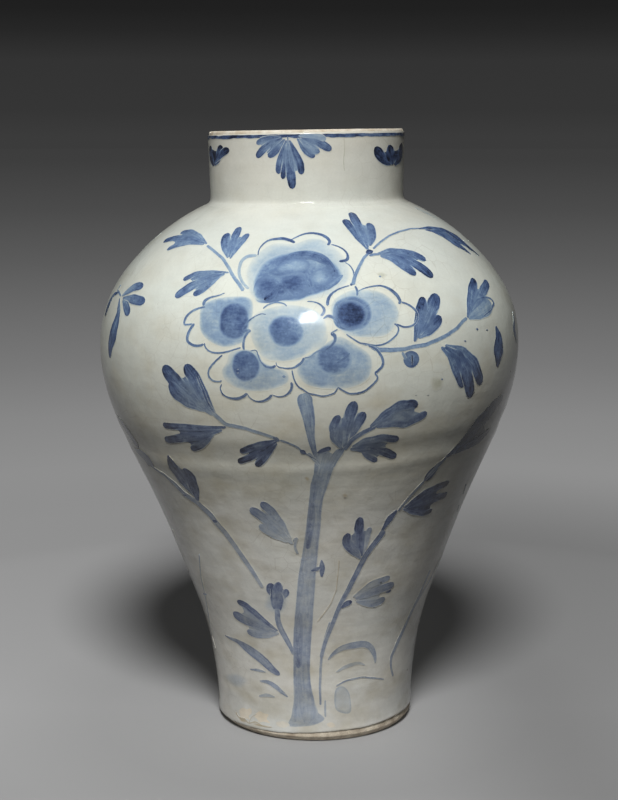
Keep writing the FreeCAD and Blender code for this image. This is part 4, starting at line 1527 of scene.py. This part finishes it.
def turnedStroke(path, turn):
    step = -1 if turn.determinant() < 0 else 1
    return [(turn @ place, girth, load, ground[::step]) for place, girth, load, ground in path]


def turnedPool(pool, turn):
    return (*pool[:3], [turn @ place for place in pool[3]], pool[4])


def turned(paths, pools, turn):
    return [turnedStroke(path, turn) for path in paths], [turnedPool(pool, turn) for pool in pools]


def placesIn(path):
    return [point[0] for point in path]


def bearing(places):  # degrees round the jar from the middle of its front
    middle = upright @ (sum(places, Vector()) / len(places))
    return math.degrees(math.atan2(middle.x, -middle.y))


def within(places, box):  # in pixels: left, top, right, bottom
    spots = [toPixel(place) for place in places]
    return all(box[0] < spot.x < box[2] and box[1] < spot.y < box[3] for spot in spots)


# The blue line under the lip
rimShape = {
    "height": 0.4458, "radius": 0.074, "girth": 0.0014, "seed": 3, "steps": 120, "heightWander": 0.0003,
    "loads": (0.85, 0.75, 0.95, 1.0, 0.95, 0.9, 1.0, 0.85, 0.9, 0.85),
    "loadWander": (0.85, 1.1), "girthWander": (0.8, 1.15),
}


def rimLine():
    look = rimShape
    wander, path, radius = random.Random(look["seed"]), [], look["radius"]
    for step in range(look["steps"] + 1):
        angle = math.tau * step / look["steps"]
        height = look["height"] + wander.uniform(-look["heightWander"], look["heightWander"])
        place = lean @ Vector((radius * math.sin(angle), -radius * math.cos(angle), height))
        load = shareAt(look["loads"], step / look["steps"]) * wander.uniform(*look["loadWander"])
        girth = look["girth"] * wander.uniform(*look["girthWander"])
        path.append((canvasTree.find_nearest(place)[0], girth, load))
    return path


layout = {
    "detail": (0.0009, 8, 0.00008),  # step along a stroke, points across it, lift
    "details": {"BlossomLines": (0.0009, 4, 0.0001), "Trunk": (0.0009, 10, 0.00008)},
    "lift": 0.0001,
    "backTurn": 8, "halfFront": 62,  # the front's painting stands once more at the back, in degrees
    "sprayTurns": (0, 120, 240), "cloverTurns": (0, 0, 118),
    "sideGroups": ("UpperLeaves", "LowerLeaves", "Foot"),
}
groups = {"UpperLeaves": upperLeaves, "BlossomLines": blossomLines, "LowerLeaves": lowerLeaves,
          "Trunk": trunkStrokes, "Foot": footStrokes}
washGroups = {"Blossoms": blossomPools, "Foot": footPools, "Trunk": trunkPools}
strokesOf, poolsOf = {}, {name: [poolPath(pool) for pool in pools] for name, pools in washGroups.items()}
for name, strokes in groups.items():
    strokesOf[name], bodies = sortedStrokes(strokes)
    if bodies:
        poolsOf[name] = poolsOf.get(name, []) + bodies
strokesOf["Trunk"].insert(0, trunkWash())
strokesOf["UpperLeaves"] += [spotPath(*spot) for spot in cobaltSpots]
for name, paths in strokesOf.items():
    washes = flatPools(poolsOf["Blossoms" if name == "BlossomLines" else name])
    strokesOf[name] = [groundedPath(path, washes, name == "Trunk" and number > 0)
                       for number, path in enumerate(paths)]
poolsOf = {name: groundedPools(pools) for name, pools in poolsOf.items()}

spray, clovers = spraySet(neckSpray), [spraySet(clover) for clover in neckClovers]
neckSets = [(spray, degrees) for degrees in layout["sprayTurns"]]
neckSets += list(zip((*clovers, clovers[-1]), layout["cloverTurns"]))
neck, neckPools = [groundedPath(rimLine())], []
for (paths, pools), degrees in neckSets:
    paths, pools = turned(paths, pools, around(degrees))
    neck, neckPools = neck + paths, neckPools + pools


def facesFront(places):
    return abs(bearing(places)) < layout["halfFront"]


for side, turn in (("front", None), ("back", around(layout["backTurn"], True))):
    for name, pools in poolsOf.items():
        if turn:
            pools = [turnedPool(pool, turn) for pool in pools if facesFront(pool[3])]
        paintPools(f"{side}{name}Wash", pools)
    for name, paths in strokesOf.items():
        if turn:
            paths = [turnedStroke(path, turn) for path in paths if facesFront(placesIn(path))]
        paintStrokes(f"{side}{name}", paths, *layout["details"].get(name, layout["detail"]))
# Sprays on the sides, between front and back
sidePaths, sidePools = [], []
for box, target, mirrored in sideSprays:
    names = layout["sideGroups"]
    paths = [path for name in names for path in strokesOf[name] if within(placesIn(path), box)]
    pools = [pool for name in names for pool in poolsOf[name] if within(pool[3], box)]
    centre = bearing([place for path in paths for place in placesIn(path)])
    paths, pools = turned(paths, pools, around(target - (180 - centre if mirrored else centre), mirrored))
    sidePaths, sidePools = sidePaths + paths, sidePools + pools
paintPools("sideWash", sidePools)
paintStrokes("sideLeaves", sidePaths, lift=layout["lift"])
paintPools("neckWash", neckPools)
paintStrokes("neckPainting", neck, lift=layout["lift"])

# Signs of age: hairline cracks, flaked places and stains at the foot
hairlines = [
    ("line", 0.3, 0.6, 339, 560, 338, 575, 336, 590, 331, 603, 325, 612, 317, 622),
    ("line", 0.25, 0.5, 344, 138, 344.5, 150, 343.5, 160, 344.5, 171),
    ("line", 0.5, 0.6, 236, 712, 239, 717, 245, 719, 249, 723, 256, 722, 263, 726, 272, 727),
    ("line", 0.35, 0.5, 249, 723, 252, 717, 257, 714),
]
flakes = [
    (0.6, 0.3, 0.9, 239, 710, 243, 707.5, 247, 709, 251, 708, 252, 713, 249, 716, 250.5, 720, 245, 718.5,
     241, 719, 240, 715),
    (0.65, 0.3, 0.9, 256, 713, 260, 711, 264, 713, 269, 714.5, 267, 719, 271, 723.5, 264, 722, 259, 722.5,
     257, 719, 254, 716.5),
    (0.4, 0.2, 0.6, 276, 722, 284, 721, 290, 725, 284, 728, 277, 726),
    (0.45, 0.2, 0.6, 326, 724, 332, 722, 336, 726, 331, 728),
]
stains = [
    (0.45, 0.1, 0.4, 238.5, 717, 242, 717, 247, 721, 246, 723, 241, 721.5),
    (0.4, 0.1, 0.4, 252, 722.5, 258, 723.5, 267, 726, 272, 728, 262, 727, 254, 725),
    (0.4, 0.1, 0.4, 281, 376, 284, 373, 288, 376, 285, 380, 282, 379.5),
    (0.30, 0.05, 0.3, 430, 379, 437, 376, 444, 380, 442, 388, 434, 391),
    (0.22, 0.05, 0.3, 376, 274, 381, 272, 387, 275, 383, 279),
    (0.30, 0.05, 0.3, 304, 478, 307, 476, 310, 479, 308, 482),
    (0.25, 0.05, 0.3, 342, 495, 345, 493, 348, 496, 345, 499),
]
hairlineDetail = (0.0009, 4, 0.0001)  # step, points across, lift
crackPaths = [groundedPath(strokePath(stroke)) for stroke in hairlines]
paintStrokes("ageCracks", crackPaths, *hairlineDetail, crackStain)
paintPools("ageFlakes", groundedPools([poolPath(pool) for pool in flakes]), flakedGlaze)
paintPools("ageStains", groundedPools([poolPath(pool) for pool in stains]), rustStain)
print("painting ready")

bpy.data.objects.remove(canvas)

# The studio: a wide pale floor that fades into a darker background on all sides, with painted light and shade
# and a painted glow on the paper. Tones are greys.
studio = {
    "floorRadius": 60.0, "floorCorners": 96, "floorDrop": 0.0003,
    # Grey of the paper near the jar: it rises away from the jar, painted light that makes up for the lamp's
    # light falling off
    "nearTones": [(0.0, 0.38), (0.17, 0.40), (0.25, 0.46), (0.37, 0.50), (0.70, 0.61), (1.0, 0.64)],
    # Far away the paper glows in these tones instead, painted light that darkens outwards into the background
    "farTones": [  # by distance d from the jar, as d / (d + 1.5)
        (0.0, 0.31), (0.308, 0.295), (0.393, 0.272), (0.479, 0.240), (0.568, 0.186), (0.66, 0.145),
        (0.754, 0.104), (0.853, 0.070), (0.952, 0.048), (1.0, 0.045)],
    "farReach": 1.5, "farFrom": (0.50, 1.0),
    # Painted shade on the paper: darker to the right and towards the front
    "paintedShadeRight": (0.04, 0.20, 1.0, 0.66), "paintedShadeFront": (-0.17, 0.0, 0.80, 1.0),
    "quietFrom": (0.12, 0.42, 1.0, 0.04), "dimSide": (0.03, 0.13, 1.0, 0.4),
    # A faint glow of the paper where it is seen, painted light that lightens the jar's cast shadow
    "shadeLift": 0.05,
    "skyTones": [(0.0, 0.044), (0.16, 0.036), (0.46, 0.033), (0.64, 0.020), (0.77, 0.0145), (1.0, 0.012)],
    "skyStretch": 10.0, "world": 0.02,
    "shinePlace": (-0.015, -1.55, 1.51), "shineAim": (0.0, 0.0, 0.33),
    "shineSize": 0.34, "shineCorners": 48, "shine": 35.0,
    "lampAim": (0.0, 0.0, 0.25),
    "lamps": {  # place, width, power
        "floorLamp": ((0.0, -1.255, 1.62), 0.52, 40.0),
        "jarLamp": ((-0.18, -1.24, 1.58), 0.48, 38.8),
        "backLamp": ((0.0, 1.9, 1.0), 0.6, 9.0),
    },
}


def greyRamp(factor, tones):
    return ramp(factor, [(stop, grey(tone)) for stop, tone in tones])


def shownRays(tree):  # 1 for what the camera sees, also in a reflection or through glass
    path = addNode(tree, "ShaderNodeLightPath").outputs
    shown = calc("MAXIMUM", path["Is Camera Ray"], path["Is Glossy Ray"])
    return calc("MAXIMUM", shown, path["Is Transmission Ray"])


def roundSheet(name, radius, corners, placing, material):
    angles = [math.tau * i / corners for i in range(corners)]
    rim = [placing @ Vector((radius * math.cos(angle), radius * math.sin(angle), 0.0)) for angle in angles]
    mesh = bpy.data.meshes.new(name)
    mesh.from_pydata(rim, [], [list(range(corners))])
    mesh.materials.append(material)
    sheet = bpy.data.objects.new(name, mesh)
    scene.collection.objects.link(sheet)
    return sheet


def makeFloor():
    look = studio
    tree, shader = newMaterial("studioPaper")
    x, y, z = axes(objectPlace(tree))
    away = vectorCalc("LENGTH", joined(x, y, 0.0), output=1)
    # Painted light and shade on the paper: lighter away from the jar, darker to the right and towards the
    # front
    side = times(smoothRemap(x, *look["paintedShadeRight"]), remap(y, *look["paintedShadeFront"]))
    near = shaded(greyRamp(away, look["nearTones"]), side)
    # Away from the jar the paper throws little light back, as in a studio with dark sides
    quiet = times(smoothRemap(away, *look["quietFrom"]),
                  remap(calc("ABSOLUTE", x), *look["dimSide"]))
    seen = shownRays(tree)
    far = times(seen, smoothRemap(away, *look["farFrom"]))
    level = times(calc("MAXIMUM", seen, quiet), minus(1.0, far))
    connect(shaded(near, level), shader.inputs["Base Color"])
    shader.inputs["Roughness"].default_value = 1.0
    shader.inputs["Specular IOR Level"].default_value = 0.0
    # Far away the paper glows with its tones, and near the jar it glows faintly where seen: painted light
    # that lightens the jar's shadow
    reach = calc("DIVIDE", away, plus(away, look["farReach"]))
    connect(greyRamp(reach, look["farTones"]), shader.inputs["Emission Color"])
    lift = calc("MAXIMUM", far, times(seen, look["shadeLift"]))
    connect(lift, shader.inputs["Emission Strength"])
    placing = Matrix.Translation((0, 0, -look["floorDrop"]))
    floor = roundSheet("studioFloor", look["floorRadius"], look["floorCorners"], placing,
                       bpy.data.materials["studioPaper"])
    return floor


def makeWorld():
    world = bpy.data.worlds.new("studioWorld")
    world.use_nodes = True
    tree = world.node_tree
    height = axes(addNode(tree, "ShaderNodeTexCoord").outputs["Generated"])[2]
    sky = greyRamp(times(height, studio["skyStretch"]), studio["skyTones"])
    tone = mixColour(shownRays(tree), (*grey(studio["world"]), 1), sky)
    connect(tone, tree.nodes["Background"].inputs[0])
    scene.world = world


def facingTurn(place, aim):
    return (Vector(aim) - Vector(place)).to_track_quat("-Z", "Y")


# A bright disc that only reflections show: it makes the highlight on the shoulder
def makeShine():
    look = studio
    material = bpy.data.materials.new("shineGlow")
    material.use_nodes = True
    tree = material.node_tree
    tree.nodes.clear()
    glow = addNode(tree, "ShaderNodeEmission", {"Strength": look["shine"]})
    end = addNode(tree, "ShaderNodeOutputMaterial")
    connect(glow.outputs[0], end.inputs[0])
    material.cycles.emission_sampling = "NONE"
    turn = facingTurn(look["shinePlace"], look["shineAim"]).to_matrix().to_4x4()
    placing = Matrix.Translation(look["shinePlace"]) @ turn @ Matrix.Diagonal((1, -1, 1, 1))
    disc = roundSheet("shineDisc", look["shineSize"] / 2, look["shineCorners"], placing, material)
    disc.visible_camera = disc.visible_diffuse = disc.visible_shadow = disc.visible_transmission = False


def collected(name, pieces):
    collection = bpy.data.collections.new(name)
    for piece in pieces:
        collection.objects.link(piece)
    return collection


def addLamp(name, lit):  # lit is the collection that the lamp lights
    place, size, power = studio["lamps"][name]
    lamp = bpy.data.lights.new(name, "AREA")
    lamp.shape, lamp.size, lamp.energy = "DISK", size, power
    holder = bpy.data.objects.new(name, lamp)
    holder.location = place
    holder.rotation_euler = facingTurn(place, studio["lampAim"]).to_euler()
    holder.visible_glossy = False
    holder.light_linking.receiver_collection = lit
    scene.collection.objects.link(holder)


jarPieces = collected("jarPieces", [piece for piece in scene.objects if piece.type == "MESH"])
studioPieces = collected("studioPieces", [makeFloor()])
makeShine()
makeWorld()
for name, lit in (("floorLamp", studioPieces), ("jarLamp", jarPieces), ("backLamp", jarPieces)):
    addLamp(name, lit)
scene.view_settings.view_transform = "Standard"

lens = bpy.data.cameras.new("photoCamera")
lens.lens, lens.sensor_width = view["lens"], view["sensor"]
photoCamera = bpy.data.objects.new("photoCamera", lens)
photoCamera.location = view["place"]
photoCamera.rotation_euler = (math.radians(90 - view["downDegrees"]), 0, 0)
scene.collection.objects.link(photoCamera)
scene.camera = photoCamera
print("studio ready")
